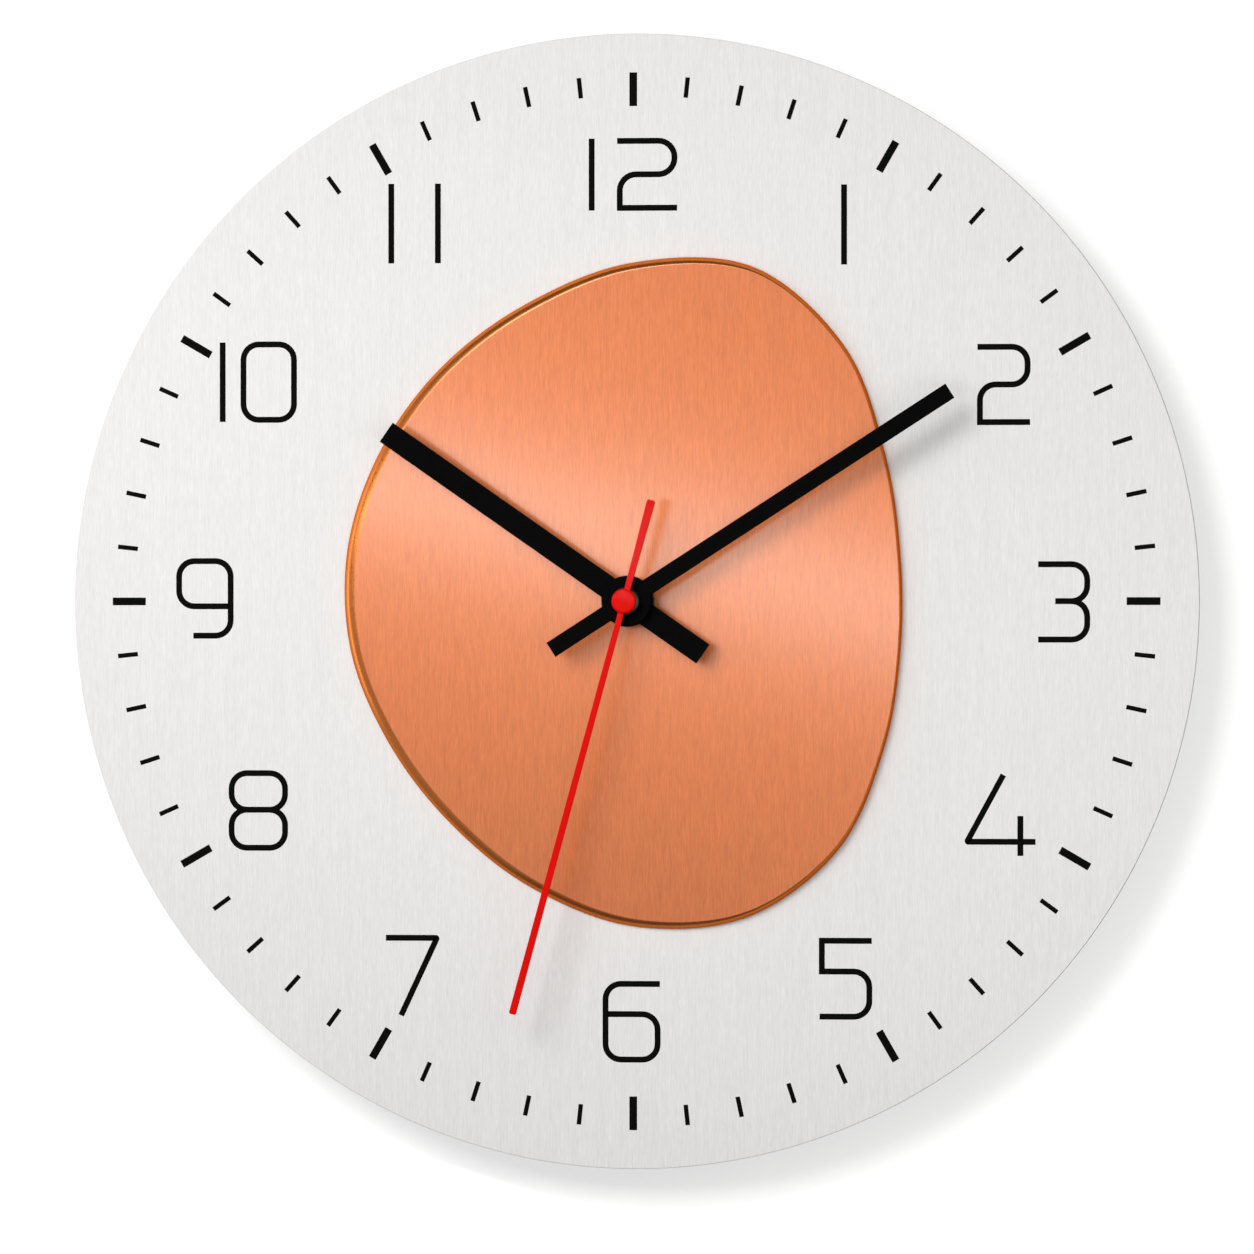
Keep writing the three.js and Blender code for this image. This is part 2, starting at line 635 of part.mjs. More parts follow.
const statorLeft = coilX - core.width / 2;
const statorRight = rotorAxis.x + rotorMagnetRadius + rotorGap + statorMargin;
const windowRight = coilX + bobbin.flange + statorWindow;
const stator = slab([
  [statorLeft, coreLow], [statorRight, coreLow], [statorRight, coreHigh], [statorLeft, coreHigh],
  [statorLeft, bobbin.high + statorWindow], [windowRight, bobbin.high + statorWindow],
  [windowRight, bobbin.low - statorWindow], [statorLeft, bobbin.low - statorWindow],
].map(([x, y]) => new THREE.Vector2(x, y)), statorTop - statorThickness, statorTop,
[circle(rotorMagnetRadius + rotorGap, rotorAxis.x, rotorAxis.y)]);
addPiece('stator_plate', stator, steel);

// ---------- wheel train ----------

// a toothed outline: straight-flanked teeth, slim enough to run with backlash
function toothed(count, pitchRadius, phase = 0) {
  const gearModule = (2 * pitchRadius) / count;
  const pitch = Math.PI * gearModule;
  const width = count < tooth.pinionTeeth ? tooth.pinion : tooth.wheel;
  const tip = pitchRadius + tooth.addendum * gearModule;
  const root = pitchRadius - tooth.dedendum * gearModule;
  const tipHalf = (width.tip * pitch) / tip;
  const rootHalf = (width.root * pitch) / root;
  const points = [];
  for (let i = 0; i < count; i++) {
    const a = phase + (2 * Math.PI * i) / count;
    for (const [r, turn] of [[root, -rootHalf], [tip, -tipHalf], [tip, tipHalf], [root, rootHalf]]) {
      points.push(new THREE.Vector2(r * Math.cos(a + turn), r * Math.sin(a + turn)));
    }
  }
  return points;
}

// the phase that puts a follower's gap where the driver's tooth is, at the point where they meet
function meshing(driverTeeth, driverPhase, followerTeeth, direction) {
  return direction + Math.PI
    + (Math.PI - (driverPhase - direction) * driverTeeth) / followerTeeth;
}

const radius = {
  rotor: pitchRadius(teeth.rotor, teeth.intermediate, rotorDistance),
  intermediate: pitchRadius(teeth.intermediate, teeth.rotor, rotorDistance),
  intermediatePinion: pitchRadius(teeth.intermediatePinion, teeth.seconds, intermediateDistance),
  seconds: pitchRadius(teeth.seconds, teeth.intermediatePinion, intermediateDistance),
  secondsPinion: pitchRadius(teeth.secondsPinion, teeth.third, thirdDistance),
  third: pitchRadius(teeth.third, teeth.secondsPinion, thirdDistance),
  thirdPinion: pitchRadius(teeth.thirdPinion, teeth.centre, thirdDistance),
  centre: centreRadius,
  cannon: pitchRadius(teeth.cannon, teeth.minute, setterDistance),
  minute: pitchRadius(teeth.minute, teeth.cannon, setterDistance),
  minutePinion: pitchRadius(teeth.minutePinion, teeth.hour, setterDistance),
  hour: pitchRadius(teeth.hour, teeth.minutePinion, setterDistance),
};

function place(mesh, axis) {
  mesh.position.set(axis.x, axis.y, 0);
}

const pivotEnd = bearingTop - pivotDepth + freeGap;
const plateEnd = middlePlateZ + middlePlateThickness - freeGap;

// the driving wheel of each pair has a tooth at the angle 0, and its partner is turned to mesh
const rotorPhase = meshing(teeth.intermediate, 0, teeth.rotor, rotorDirection);
const intermediatePinionPhase = meshing(
  teeth.seconds, 0, teeth.intermediatePinion, intermediateDirection);
const thirdPhase = meshing(teeth.secondsPinion, 0, teeth.third, thirdDirection);
const centrePhase = meshing(teeth.thirdPinion, 0, teeth.centre, thirdDirection + Math.PI);
const minutePhase = meshing(teeth.cannon, 0, teeth.minute, setterDirection);
const hourPhase = meshing(teeth.minutePinion, 0, teeth.hour, setterDirection + Math.PI);

function wheelAt(name, z0, phase, holes = []) {
  return slab(toothed(teeth[name], radius[name], phase), z0, z0 + wheelThickness, holes);
}

// a pinion that drives, or is driven by, the wheel at z0
function pinionAt(name, z0, phase) {
  return slab(toothed(teeth[name], radius[name], phase), z0 - pinionExtra, z0 + wheelThickness + pinionExtra);
}

// rotor: a magnet on a pinion
place(addPiece('rotor_pinion', join(
  pinionAt('rotor', intermediateZ, rotorPhase),
  rod(pinRadius, pivotEnd, plateEnd)), whitePlastic), rotorAxis);
place(addPiece('rotor_magnet', tube(rotorMagnetRadius, pinRadius + slip,
  magnetLow, magnetLow + rotorMagnetHeight), magnetGrey), rotorAxis);

// intermediate wheel and its pinion
place(addPiece('intermediate_wheel', join(
  wheelAt('intermediate', intermediateZ),
  pinionAt('intermediatePinion', secondsZ, intermediatePinionPhase),
  rod(pinRadius, pivotEnd, plateEnd)), whitePlastic), intermediateAxis);

// seconds wheel and pinion, pressed on the steel arbor that carries the second hand
const secondsHub = secondArborRadius + 0.25;
addPiece('seconds_wheel', cut(
  join(wheelAt('seconds', secondsZ), pinionAt('secondsPinion', thirdZ),
    rod(secondsHub, secondsZ, thirdZ - pinionExtra)),
  rod(secondArborRadius + pressFit, secondsZ - 1, thirdZ + wheelThickness + 1)), whitePlastic);
addPiece('seconds_arbor', rod(secondArborRadius, pivotEnd, secondArborEnd), steel);

// third wheel behind the middle plate, its pinion in front of it
place(addPiece('third_wheel', join(
  wheelAt('third', thirdZ, thirdPhase),
  pinionAt('thirdPinion', centreZ),
  rod(pinRadius, pivotEnd, centreZ + wheelThickness)), whitePlastic), thirdAxis);

// centre wheel, which grips the minute pipe by friction
addPiece('centre_wheel', wheelAt('centre', centreZ, centrePhase, [circle(minutePipeRadius + pressFit)]),
  whitePlastic);

// minute pipe with the cannon pinion
const pipeRear = centreZ - pinionExtra;
addPiece('minute_pipe', cut(
  join(pinionAt('cannon', minuteWheelZ), rod(minutePipeRadius, pipeRear, minutePipeEnd)),
  rod(secondArborRadius + runFit, pipeRear - 1, minutePipeEnd + 1)), brass);

// minute wheel and pinion, on the arbor that the setting knob turns
place(addPiece('minute_wheel', join(
  wheelAt('minute', minuteWheelZ, minutePhase),
  pinionAt('minutePinion', hourWheelZ),
  rod(setterArbor, knobBack + knobFloor + seat, innerFront - freeGap)), whitePlastic), setterAxis);

// setting knob: a ribbed disc in the lid's hole
const knobOutline = [];
for (let i = 0; i < knobRibs * 2; i++) {
  const a = (Math.PI * i) / knobRibs;
  const r = i % 2 ? knobRadius - knobRibHeight : knobRadius;
  knobOutline.push(new THREE.Vector2(r * Math.cos(a), r * Math.sin(a)));
}
place(addPiece('setting_knob', cut(
  slab(knobOutline, knobBack, knobBack + knobHeight),
  rod(setterArbor + pressFit, knobBack + knobFloor, knobBack + knobHeight + 1)), blackPlastic), setterAxis);

// hour wheel with its pipe
addPiece('hour_wheel', cut(
  join(wheelAt('hour', hourWheelZ, hourPhase), rod(hourPipeRadius, hourWheelZ, hourPipeEnd)),
  rod(minutePipeRadius + runFit, hourWheelZ - 1, hourPipeEnd + 1)), whitePlastic);

// ---------- hands ----------

function turnedGroup(angle) {
  const group = new THREE.Group();
  group.rotation.z = -THREE.MathUtils.degToRad(angle);
  clock.add(group);
  return group;
}

// a straight hand that points to 12: a bar with a round hub
function handBlank(tipHalf, neckHalf, tailHalf, reach, tail, hub, bore, z) {
  const bar = slab([
    [-tailHalf, -tail], [tailHalf, -tail], [neckHalf, 0], [tipHalf, reach],
    [-tipHalf, reach], [-neckHalf, 0],
  ].map(([x, y]) => new THREE.Vector2(x, y)), z, z + handThickness);
  return cut(join(bar, slab(circle(hub), z, z + handThickness)),
    slab(circle(bore), z - 1, z + handThickness + 1));
}

const hourGroup = turnedGroup(hourAngle);
const hourBore = hourPipeRadius + slip;
addPiece('hour_hand', handBlank(hourHand.width / 2, hourHand.width / 2, hourHand.width / 2,
  hourHand.reach, hourHand.tail, hourHand.hub, hourBore, hourHandZ), blackPaint, hourGroup);
addPiece('hour_collet', tube(hourBore + collet.hourWall, hourBore,
  hourHandZ - seat - collet.height, hourHandZ - seat), brass, hourGroup);

const minuteGroup = turnedGroup(minuteAngle);
const minuteBore = minutePipeRadius + slip;
addPiece('minute_hand', handBlank(minuteHand.width / 2, minuteHand.width / 2, minuteHand.width / 2,
  minuteHand.reach, minuteHand.tail, minuteHand.hub, minuteBore, minuteHandZ), blackPaint, minuteGroup);
addPiece('minute_collet', tube(minuteBore + collet.minuteWall, minuteBore,
  minuteHandZ - seat - collet.height, minuteHandZ - seat), brass, minuteGroup);
addPiece('minute_nut', tube(minuteNut.radius, minuteBore, minuteNutZ, minuteNutZ + minuteNut.height),
  blackPaint, minuteGroup);

const secondGroup = turnedGroup(secondAngle);
const secondBore = secondArborRadius + pressFit;
addPiece('second_hand', handBlank(secondHand.tipWidth / 2, secondHand.neckWidth / 2,
  secondHand.tailWidth / 2, secondHand.reach, secondHand.tail, secondHand.hub, secondBore, secondHandZ),
redPaint, secondGroup);
addPiece('second_tube', tube(secondBore + secondTube.wall, secondBore,
  secondHandZ - seat - secondTube.height, secondHandZ - seat), brass, secondGroup);
const capLow = secondHandZ + handThickness + seat;
const capRise = capLow + secondCap.height / 2;
addPiece('second_cap', turned([
  [0, capLow], [secondCap.radius - secondCap.edge, capLow], [secondCap.radius, capLow + secondCap.edge],
  [secondCap.radius, capRise], [secondCap.radius - 2 * secondCap.edge, capLow + 0.8 * secondCap.height],
  [secondCap.radius / 2, capLow + 0.96 * secondCap.height], [0, capLow + secondCap.height],
], 36), redPaint, secondGroup);

// ---------- stand the face frame upright ----------

const wallClock = new THREE.Group();
clock.rotation.x = Math.PI / 2;
wallClock.add(clock);

export default wallClock;
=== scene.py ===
import math

import bmesh
import bpy
from mathutils import Matrix, Vector


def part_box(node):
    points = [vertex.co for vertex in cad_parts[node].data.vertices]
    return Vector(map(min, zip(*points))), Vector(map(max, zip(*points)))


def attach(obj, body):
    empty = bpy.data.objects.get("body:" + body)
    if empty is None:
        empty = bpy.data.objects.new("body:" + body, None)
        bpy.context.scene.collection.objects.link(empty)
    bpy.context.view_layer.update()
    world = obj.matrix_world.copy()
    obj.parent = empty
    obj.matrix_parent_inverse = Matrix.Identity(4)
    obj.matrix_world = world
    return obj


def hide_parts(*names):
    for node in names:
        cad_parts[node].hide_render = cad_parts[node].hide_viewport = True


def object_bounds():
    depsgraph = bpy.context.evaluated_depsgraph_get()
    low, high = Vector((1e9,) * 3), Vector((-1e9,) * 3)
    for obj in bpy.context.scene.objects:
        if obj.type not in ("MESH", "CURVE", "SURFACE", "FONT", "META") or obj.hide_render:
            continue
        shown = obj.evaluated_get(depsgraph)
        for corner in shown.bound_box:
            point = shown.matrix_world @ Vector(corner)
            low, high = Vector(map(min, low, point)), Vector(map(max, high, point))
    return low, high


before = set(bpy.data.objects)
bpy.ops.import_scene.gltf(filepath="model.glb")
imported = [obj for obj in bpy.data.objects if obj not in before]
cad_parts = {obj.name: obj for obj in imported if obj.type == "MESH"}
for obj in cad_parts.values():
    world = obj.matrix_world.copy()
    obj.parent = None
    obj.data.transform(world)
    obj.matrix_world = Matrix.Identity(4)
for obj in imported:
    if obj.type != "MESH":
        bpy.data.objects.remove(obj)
cad_low, cad_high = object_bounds()
MM = 0.001


# ---- camera ----
# A long lens, level with the dial's middle and 8 degrees to the right of the clock, so that the
# hands stand clear of the dial. Its frame is a little wider than the dial.
dial_low, dial_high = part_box("dial_plate")
dial_front = dial_low.y
dial_radius = (dial_high.x - dial_low.x) / 2
camera_yaw = math.radians(8.0)
camera_distance = 3.0
frame_width = 2.209 * dial_radius
aim_below, aim_left = 6.8 * MM, 1.65 * MM
towards_camera = Vector((math.sin(camera_yaw), -math.cos(camera_yaw), 0))
camera_right = Vector((math.cos(camera_yaw), math.sin(camera_yaw), 0))
aim = Vector((0, dial_front, -aim_below)) - camera_right * aim_left
camera = bpy.data.objects.new("camera", bpy.data.cameras.new("camera"))
camera.data.sensor_width = 36
camera.data.lens = camera.data.sensor_width * camera_distance / frame_width
camera.location = aim + towards_camera * camera_distance
camera.rotation_euler = towards_camera.to_track_quat("Z", "Y").to_euler()
bpy.context.scene.collection.objects.link(camera)
bpy.context.scene.camera = camera
bpy.context.scene.view_settings.view_transform = "Standard"


# ---- wall and light ----
# A plain white painted wall that the clock hangs on. Only its front shows, so that the clock can be
# looked at from behind as well. A big soft light stands at the upper left, a thin strip close in
# front draws the bright band on the copper plate, and weak lights stand beside and behind.


class Socket:
    """One output of a shader node, so that a map is written as plain arithmetic."""

    def __init__(self, tree, output):
        self.tree = tree
        self.output = output

    def math(self, operation, first, second=None):
        node = self.tree.nodes.new("ShaderNodeMath")
        node.operation = operation
        for socket, value in zip(node.inputs, (first, second)):
            if isinstance(value, Socket):
                self.tree.links.new(value.output, socket)
            elif value is not None:
                socket.default_value = value
        return Socket(self.tree, node.outputs[0])

    def __add__(self, other):
        return self.math("ADD", self, other)

    def __radd__(self, other):
        return self.math("ADD", other, self)

    def __sub__(self, other):
        return self.math("SUBTRACT", self, other)

    def __rsub__(self, other):
        return self.math("SUBTRACT", other, self)

    def __mul__(self, other):
        return self.math("MULTIPLY", self, other)

    def __gt__(self, other):
        return self.math("GREATER_THAN", self, other)


class Finish:
    """A material: one principled shader, with the maps that feed it."""

    def __init__(self, name, colour, roughness, **sockets):
        self.material = bpy.data.materials.new(name)
        self.material.use_nodes = True
        self.tree = self.material.node_tree
        self.shader = self.tree.nodes["Principled BSDF"]
        self.place = self.node("ShaderNodeTexCoord", {}, {}, "Object")
        self.feed("Base Color", (*colour, 1))
        self.feed("Roughness", roughness)
        for socket, value in sockets.items():
            self.feed(socket.replace("_", " "), value)

    def node(self, kind, settings, values, output=0):
        """Adds a node with its settings and inputs, and gives one of its outputs."""
        node = self.tree.nodes.new(kind)
        for name, value in settings.items():
            setattr(node, name, value)
        for name, value in values.items():
            if isinstance(value, Socket):
                self.tree.links.new(value.output, node.inputs[name])
            else:
                node.inputs[name].default_value = value
        return Socket(self.tree, node.outputs[output])

    def feed(self, name, value):
        """Gives the shader's input a value or a map."""
        socket = self.shader.inputs[name]
        if isinstance(value, Socket):
            self.tree.links.new(value.output, socket)
        else:
            socket.default_value = value

    def noise(self, size, detail=2.0, stretch=(1, 1, 1)):
        """Noise whose features are about size metres across, stretched along the axes."""
        scale = tuple(1 / (size * s) for s in stretch)
        place = self.node("ShaderNodeMapping", {}, {"Vector": self.place, "Scale": scale})
        return self.node("ShaderNodeTexNoise", {},
                         {"Vector": place, "Scale": 1.0, "Detail": detail})

    def blend(self, mask, first, second):
        """The colour or map first where mask is 0, and the colour second where it is 1."""
        start = first if isinstance(first, Socket) else (*first, 1)
        return self.node("ShaderNodeMix", {"data_type": "RGBA"},
                         {0: mask, 6: start, 7: (*second, 1)}, 2)

    def bump(self, height, depth, strength=1.0):
        """Gives the surface a relief of the given depth in metres."""
        self.feed("Normal", self.node(
            "ShaderNodeBump", {}, {"Height": height, "Strength": strength, "Distance": depth}))

    def give(self, piece):
        """Adds the material to a piece."""
        piece.data.materials.append(self.material)
        return piece


def baked(piece):
    """Replaces an object's mesh by what its modifiers make of it."""
    shaped = piece.evaluated_get(bpy.context.evaluated_depsgraph_get())
    mesh = bpy.data.meshes.new_from_object(shaped)
    piece.modifiers.clear()
    piece.data = mesh
    return piece


def mesh_piece(name, bm, smooth_angle=35):
    """Turns a bmesh into a named object with clean normals, flat where it is flat."""
    bmesh.ops.remove_doubles(bm, verts=bm.verts, dist=1e-7)
    bmesh.ops.recalc_face_normals(bm, faces=bm.faces)
    mesh = bpy.data.meshes.new(name)
    bm.to_mesh(mesh)
    bm.free()
    piece = bpy.data.objects.new(name, mesh)
    bpy.context.scene.collection.objects.link(piece)
    return crisp(piece, smooth_angle)


def crisp(piece, smooth_angle=35):
    """Smooth shading that keeps flat faces flat and sharp corners sharp."""
    piece.data.shade_smooth()
    piece.data.set_sharp_from_angle(angle=math.radians(smooth_angle))
    piece.modifiers.new("normals", "WEIGHTED_NORMAL").keep_sharp = True
    return baked(piece)


wall_size = 1.6
wall_gap = 0.4 * MM
bm = bmesh.new()
bmesh.ops.create_grid(bm, size=wall_size, matrix=Matrix.Rotation(math.radians(90), 4, "X"))
bmesh.ops.translate(bm, verts=bm.verts, vec=(0, cad_high.y + wall_gap, 0))
wall = mesh_piece("backdrop", bm)
if wall.data.polygons[0].normal.y > 0:
    wall.data.flip_normals()
plaster = Finish("white_wall", (0.93, 0.93, 0.93), 0.9, Specular_IOR_Level=0.0,
                 Emission_Color=(1, 1, 1, 1), Emission_Strength=0.4)
clear = plaster.node("ShaderNodeBsdfTransparent", {}, {})
from_behind = plaster.node("ShaderNodeNewGeometry", {}, {}, "Backfacing")
looked_at = plaster.node("ShaderNodeLightPath", {}, {}, "Is Camera Ray")
unseen = looked_at.math("MAXIMUM", from_behind, 1 - looked_at)
paint = Socket(plaster.tree, plaster.shader.outputs[0])
mixed = plaster.node("ShaderNodeMixShader", {}, {0: unseen, 1: paint, 2: clear})
plaster.tree.links.new(mixed.output, plaster.tree.nodes["Material Output"].inputs["Surface"])
plaster.give(wall)

# the room is an even light grey round the clock's sides, and darker overhead and underfoot
belt_light, pole_light = 0.39, 0.12
belt_edge, pole_edge = 0.4, 0.8
world = bpy.data.worlds.new("studio")
world.use_nodes = True
studio = world.node_tree
studio.nodes["Background"].inputs["Color"].default_value = (1, 1, 1, 1)
direction = Socket(studio, studio.nodes.new("ShaderNodeTexCoord").outputs["Generated"])
split = studio.nodes.new("ShaderNodeSeparateXYZ")
studio.links.new(direction.output, split.inputs[0])
height = direction.math("ABSOLUTE", Socket(studio, split.outputs["Z"]))
belt = studio.nodes.new("ShaderNodeMapRange")
belt.interpolation_type = "SMOOTHSTEP"
belt.inputs["From Min"].default_value = belt_edge
belt.inputs["From Max"].default_value = pole_edge
belt.inputs["To Min"].default_value = belt_light
belt.inputs["To Max"].default_value = pole_light
studio.links.new(height.output, belt.inputs["Value"])
studio.links.new(belt.outputs[0], studio.nodes["Background"].inputs["Strength"])
bpy.context.scene.world = world


def soft_light(name, direction, distance, width, height, power, roll=0.0, warmth=0.0):
    """An area light that faces the clock's middle from the given direction, in metres and watts.

    It is rolled about its own axis, and warmth from 0 to 1 takes away blue and a little green.
    """
    light = bpy.data.lights.new(name, "AREA")
    light.shape = "RECTANGLE"
    light.size = width
    light.size_y = height
    light.energy = power
    light.color = (1, 1 - 0.2 * warmth, 1 - warmth)
    lamp = bpy.data.objects.new(name, light)
    away = Vector(direction).normalized()
    lamp.location = away * distance
    turn = away.to_track_quat("Z", "Y").to_matrix() @ Matrix.Rotation(roll, 3, "Z")
    lamp.rotation_euler = turn.to_euler()
    lamp.visible_camera = False
    bpy.context.scene.collection.objects.link(lamp)


soft_light("side_light", (-1.0, -0.1, 0.02), distance=1.0, width=0.35, height=0.8, power=1.2)
soft_light("rear_light", (-0.4, 1.0, 0.6), distance=1.6, width=0.9, height=0.9, power=3.0)
soft_light("key_light", (-0.325, -1.0, 0.44), distance=2.4, width=0.95, height=0.95, power=21.0)
soft_light("strip_light", (-0.14, -1.0, 0.055), distance=0.35, width=1.0, height=0.02, power=0.53,
           roll=math.radians(-13.4), warmth=0.06)


# ---- dial ----
# A disc of sheet aluminium, brushed from top to bottom and clear anodised. Its edge is turned
# with a tiny bevel, and the movement's stem passes through the hole in the middle.


def turned(name, profile, steps=96):
    """A piece turned about the Y axis, from a closed profile of (radius, y) points."""
    bm = bmesh.new()
    verts = [bm.verts.new((radius, y, 0)) for radius, y in profile]
    edges = [bm.edges.new(pair) for pair in zip(verts, verts[1:] + verts[:1])]
    bmesh.ops.spin(bm, geom=verts + edges, cent=(0, 0, 0), axis=(0, 1, 0), angle=2 * math.pi,
                   steps=steps, use_merge=True)
    return mesh_piece(name, bm)


def ring_section(inner, outer, front, back, bevel):
    """The section of a flat ring whose outer corners are rounded by the bevel."""
    cut = 0.3 * bevel
    return [(inner, front), (outer - bevel, front), (outer - cut, front + cut),
            (outer, front + bevel), (outer, back - bevel), (outer - cut, back - cut),
            (outer - bevel, back), (inner, back)]


def brushed(finish, colour, variation, roughness):
    """Fine broken streaks along Z, slightly wavy, in colour, roughness and relief."""
    relief = 0.01 * MM
    wander = finish.noise(0.006)
    shifted = finish.node("ShaderNodeVectorMath", {"operation": "MULTIPLY_ADD"}, {
        0: wander, 1: (0.0011, 0, 0), 2: finish.place})
    streaks = []
    for width, length in ((0.00022, 0.0035), (0.0005, 0.009), (0.0016, 0.03)):
        place = finish.node("ShaderNodeMapping", {}, {
            "Vector": shifted, "Scale": (1 / width, 1 / width, 1 / length)})
        streaks.append(finish.node("ShaderNodeTexNoise", {}, {
            "Vector": place, "Scale": 1.0, "Detail": 2.0, "Roughness": 0.6}))
    fine, middle, broad = streaks
    streak = fine * 0.45 + middle * 0.4 + broad * 0.15
    dark = tuple(c * (1 - variation) for c in colour)
    light = tuple(min(1, c * (1 + variation)) for c in colour)
    mask = finish.node("ShaderNodeMapRange", {}, {
        "Value": streak, "From Min": 0.38, "From Max": 0.62})
    finish.feed("Base Color", finish.blend(mask, dark, light))
    finish.feed("Roughness", roughness + (middle - 0.5) * 0.1)
    finish.bump(fine * 0.6 + middle * 0.4, relief, 0.6)


aluminium_colour = (0.92, 0.912, 0.91)
aluminium_roughness = 0.75
aluminium = Finish("brushed_aluminium", aluminium_colour, aluminium_roughness, Metallic=1.0)
brushed(aluminium, aluminium_colour, 0.045, aluminium_roughness)
stem_hole = 4.2 * MM
dial_bevel = 0.2 * MM
dial = turned("dial_disc", ring_section(
    stem_hole, dial_radius, dial_low.y, dial_high.y, dial_bevel), steps=256)
aluminium.give(dial)
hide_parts("dial_plate")
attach(dial, "clock")


# ---- printed ticks ----
# Sixty ticks printed on the dial in thick black ink: short thin ones for the minutes, and longer,
# wider ones for the hours, all with square ends. Their sizes are in millimetres.
ink_height = 0.03 * MM
ink = Finish("black_ink", (0.003, 0.003, 0.003), 0.6, Specular_IOR_Level=0.03)
ink.feed("Base Color", ink.blend(ink.noise(0.0008), (0.002, 0.002, 0.002), (0.004, 0.004, 0.004)))
ink.bump(ink.noise(0.00015), 0.00001, 0.3)
hour_tick = {"width": 2.05, "length": 8.9, "middle": 135.3}
minute_tick = {"width": 1.2, "length": 5.4, "middle": 136.4}
bm = bmesh.new()
for minute in range(60):
    tick = minute_tick if minute % 5 else hour_tick
    place = Matrix.Rotation(math.radians(6 * minute), 4, "Y") @ Matrix.Translation(
        (0, dial_front - ink_height / 2, tick["middle"] * MM))
    shape = Matrix.Diagonal((tick["width"] * MM, ink_height, tick["length"] * MM, 1))
    bmesh.ops.create_cube(bm, size=1.0, matrix=place @ shape)
ticks = mesh_piece("minute_track", bm)
ink.give(ticks)
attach(ticks, "clock")


# ---- printed numerals ----
# Upright figures of one narrow stroke with round corners, printed like the ticks. Each figure is
# drawn in millimetres round its own middle.
stroke = 1.56
round_corner = 4.1
soft_corner = 0.35


def figure_stroke(points, radii, closed):
    """One ink stroke of even width through the points, with rounded corners and square ends."""
    bm = bmesh.new()
    verts = [bm.verts.new((x * MM, 0, z * MM)) for x, z in points]
    for pair in zip(verts, verts[1:] + (verts[:1] if closed else [])):
        bm.edges.new(pair)
    for vert, radius in zip(verts, radii):
        if radius:
            bmesh.ops.bevel(bm, geom=[vert], offset=radius * MM, offset_type="OFFSET", segments=8,
                            profile=0.5, affect="VERTICES", material=-1)
    made = bmesh.ops.extrude_edge_only(bm, edges=bm.edges)
    rim = [v for v in made["geom"] if isinstance(v, bmesh.types.BMVert)]
    bmesh.ops.translate(bm, verts=rim, vec=(0, -ink_height, 0))
    bmesh.ops.recalc_face_normals(bm, faces=bm.faces)
    piece = mesh_piece("stroke", bm)
    ribbon = piece.modifiers.new("width", "SOLIDIFY")
    ribbon.thickness = stroke * MM
    ribbon.offset = 0
    ribbon.use_even_offset = True
    return piece


def united(name, pieces):
    """One piece from several strokes that run into each other."""
    first = baked(pieces[0])
    for other in pieces[1:]:
        baked(other)
        union = first.modifiers.new("union", "BOOLEAN")
        union.operation = "UNION"
        union.solver = "EXACT"
        union.object = other
        baked(first)
        bpy.data.objects.remove(other)
    first.name = name
    return crisp(first)


def joined(name, pieces):
    """One object that holds several separate pieces."""
    bm = bmesh.new()
    for piece in pieces:
        bm.from_mesh(baked(piece).data)
        bpy.data.objects.remove(piece)
    return mesh_piece(name, bm)


# each stroke: its points as (x, z), the radius of each corner, and whether it closes on itself
tall = 9.9
R, S = round_corner, soft_corner
numeral_strokes = {
    1: [([(0, -10.55), (0, 10.55)], (0, 0), False)],
    2: [([(-6.95, tall), (6.3, tall), (6.3, 0), (-6.3, 0), (-6.3, -tall), (6.95, -tall)],
         (0, R, R, R, 0, 0), False)],
    3: [([(-6.8, tall), (6.15, tall), (6.15, 0.2), (-2.3, 0.2)], (0, R, R, 0), False),
        ([(-2.3, 0.2), (6.15, 0.2), (6.15, -tall), (-6.8, -tall)], (0, R, R, 0), False)],
    4: [([(1.1, 10.5), (-8.5, -7.1), (9.6, -7.1)], (0, S, 0), False),
        ([(5.6, -0.3), (5.6, -10.8)], (0, 0), False)],
    5: [([(6.95, 10.0), (-6.3, 10.0), (-6.3, 1.9), (6.3, 1.9), (6.3, -10.0), (-6.9, -10.0)],
         (0, 0, 0, R, R, 0), False)],
    6: [([(-6.3, 2.0), (7.0, 2.0), (7.0, -10.0), (-6.9, -10.0), (-6.9, 10.0), (7.6, 10.0)],
         (0, R, R, R, R, 0), False)],
    7: [([(-7.2, 9.95), (6.5, 9.95), (-3.1, -10.6)], (0, S, 0), False)],
    8: [([(-7.2, 0.2), (7.2, 0.2), (7.2, tall), (-7.2, tall)], (R, R, R, R), True),
        ([(-7.2, 0.2), (7.2, 0.2), (7.2, -tall), (-7.2, -tall)], (R, R, R, R), True)],
    9: [([(-3.1, -tall), (6.95, -tall), (6.95, tall), (-6.95, tall), (-6.95, -2.1), (6.4, -2.1)],
         (0, R, R, R, R, 0), False)],
    10: [([(-12.2, -10.55), (-12.2, 10.55)], (0, 0), False),
         ([(-6.6, -10.0), (7.0, -10.0), (7.0, 10.0), (-6.6, 10.0)], (R, R, R, R), True)],
    11: [([(-6.25, -10.55), (-6.25, 10.55)], (0, 0), False),
         ([(6.25, -10.55), (6.25, 10.55)], (0, 0), False)],
    12: [([(-11.1, -9.5), (-11.1, 9.5)], (0, 0), False),
         ([(-4.3, 8.85), (11.0, 8.85), (11.0, 0), (-3.6, 0), (-3.6, -8.85), (11.7, -8.85)],
          (0, 4.3, 4.3, 4.3, 0, 0), False)],
}
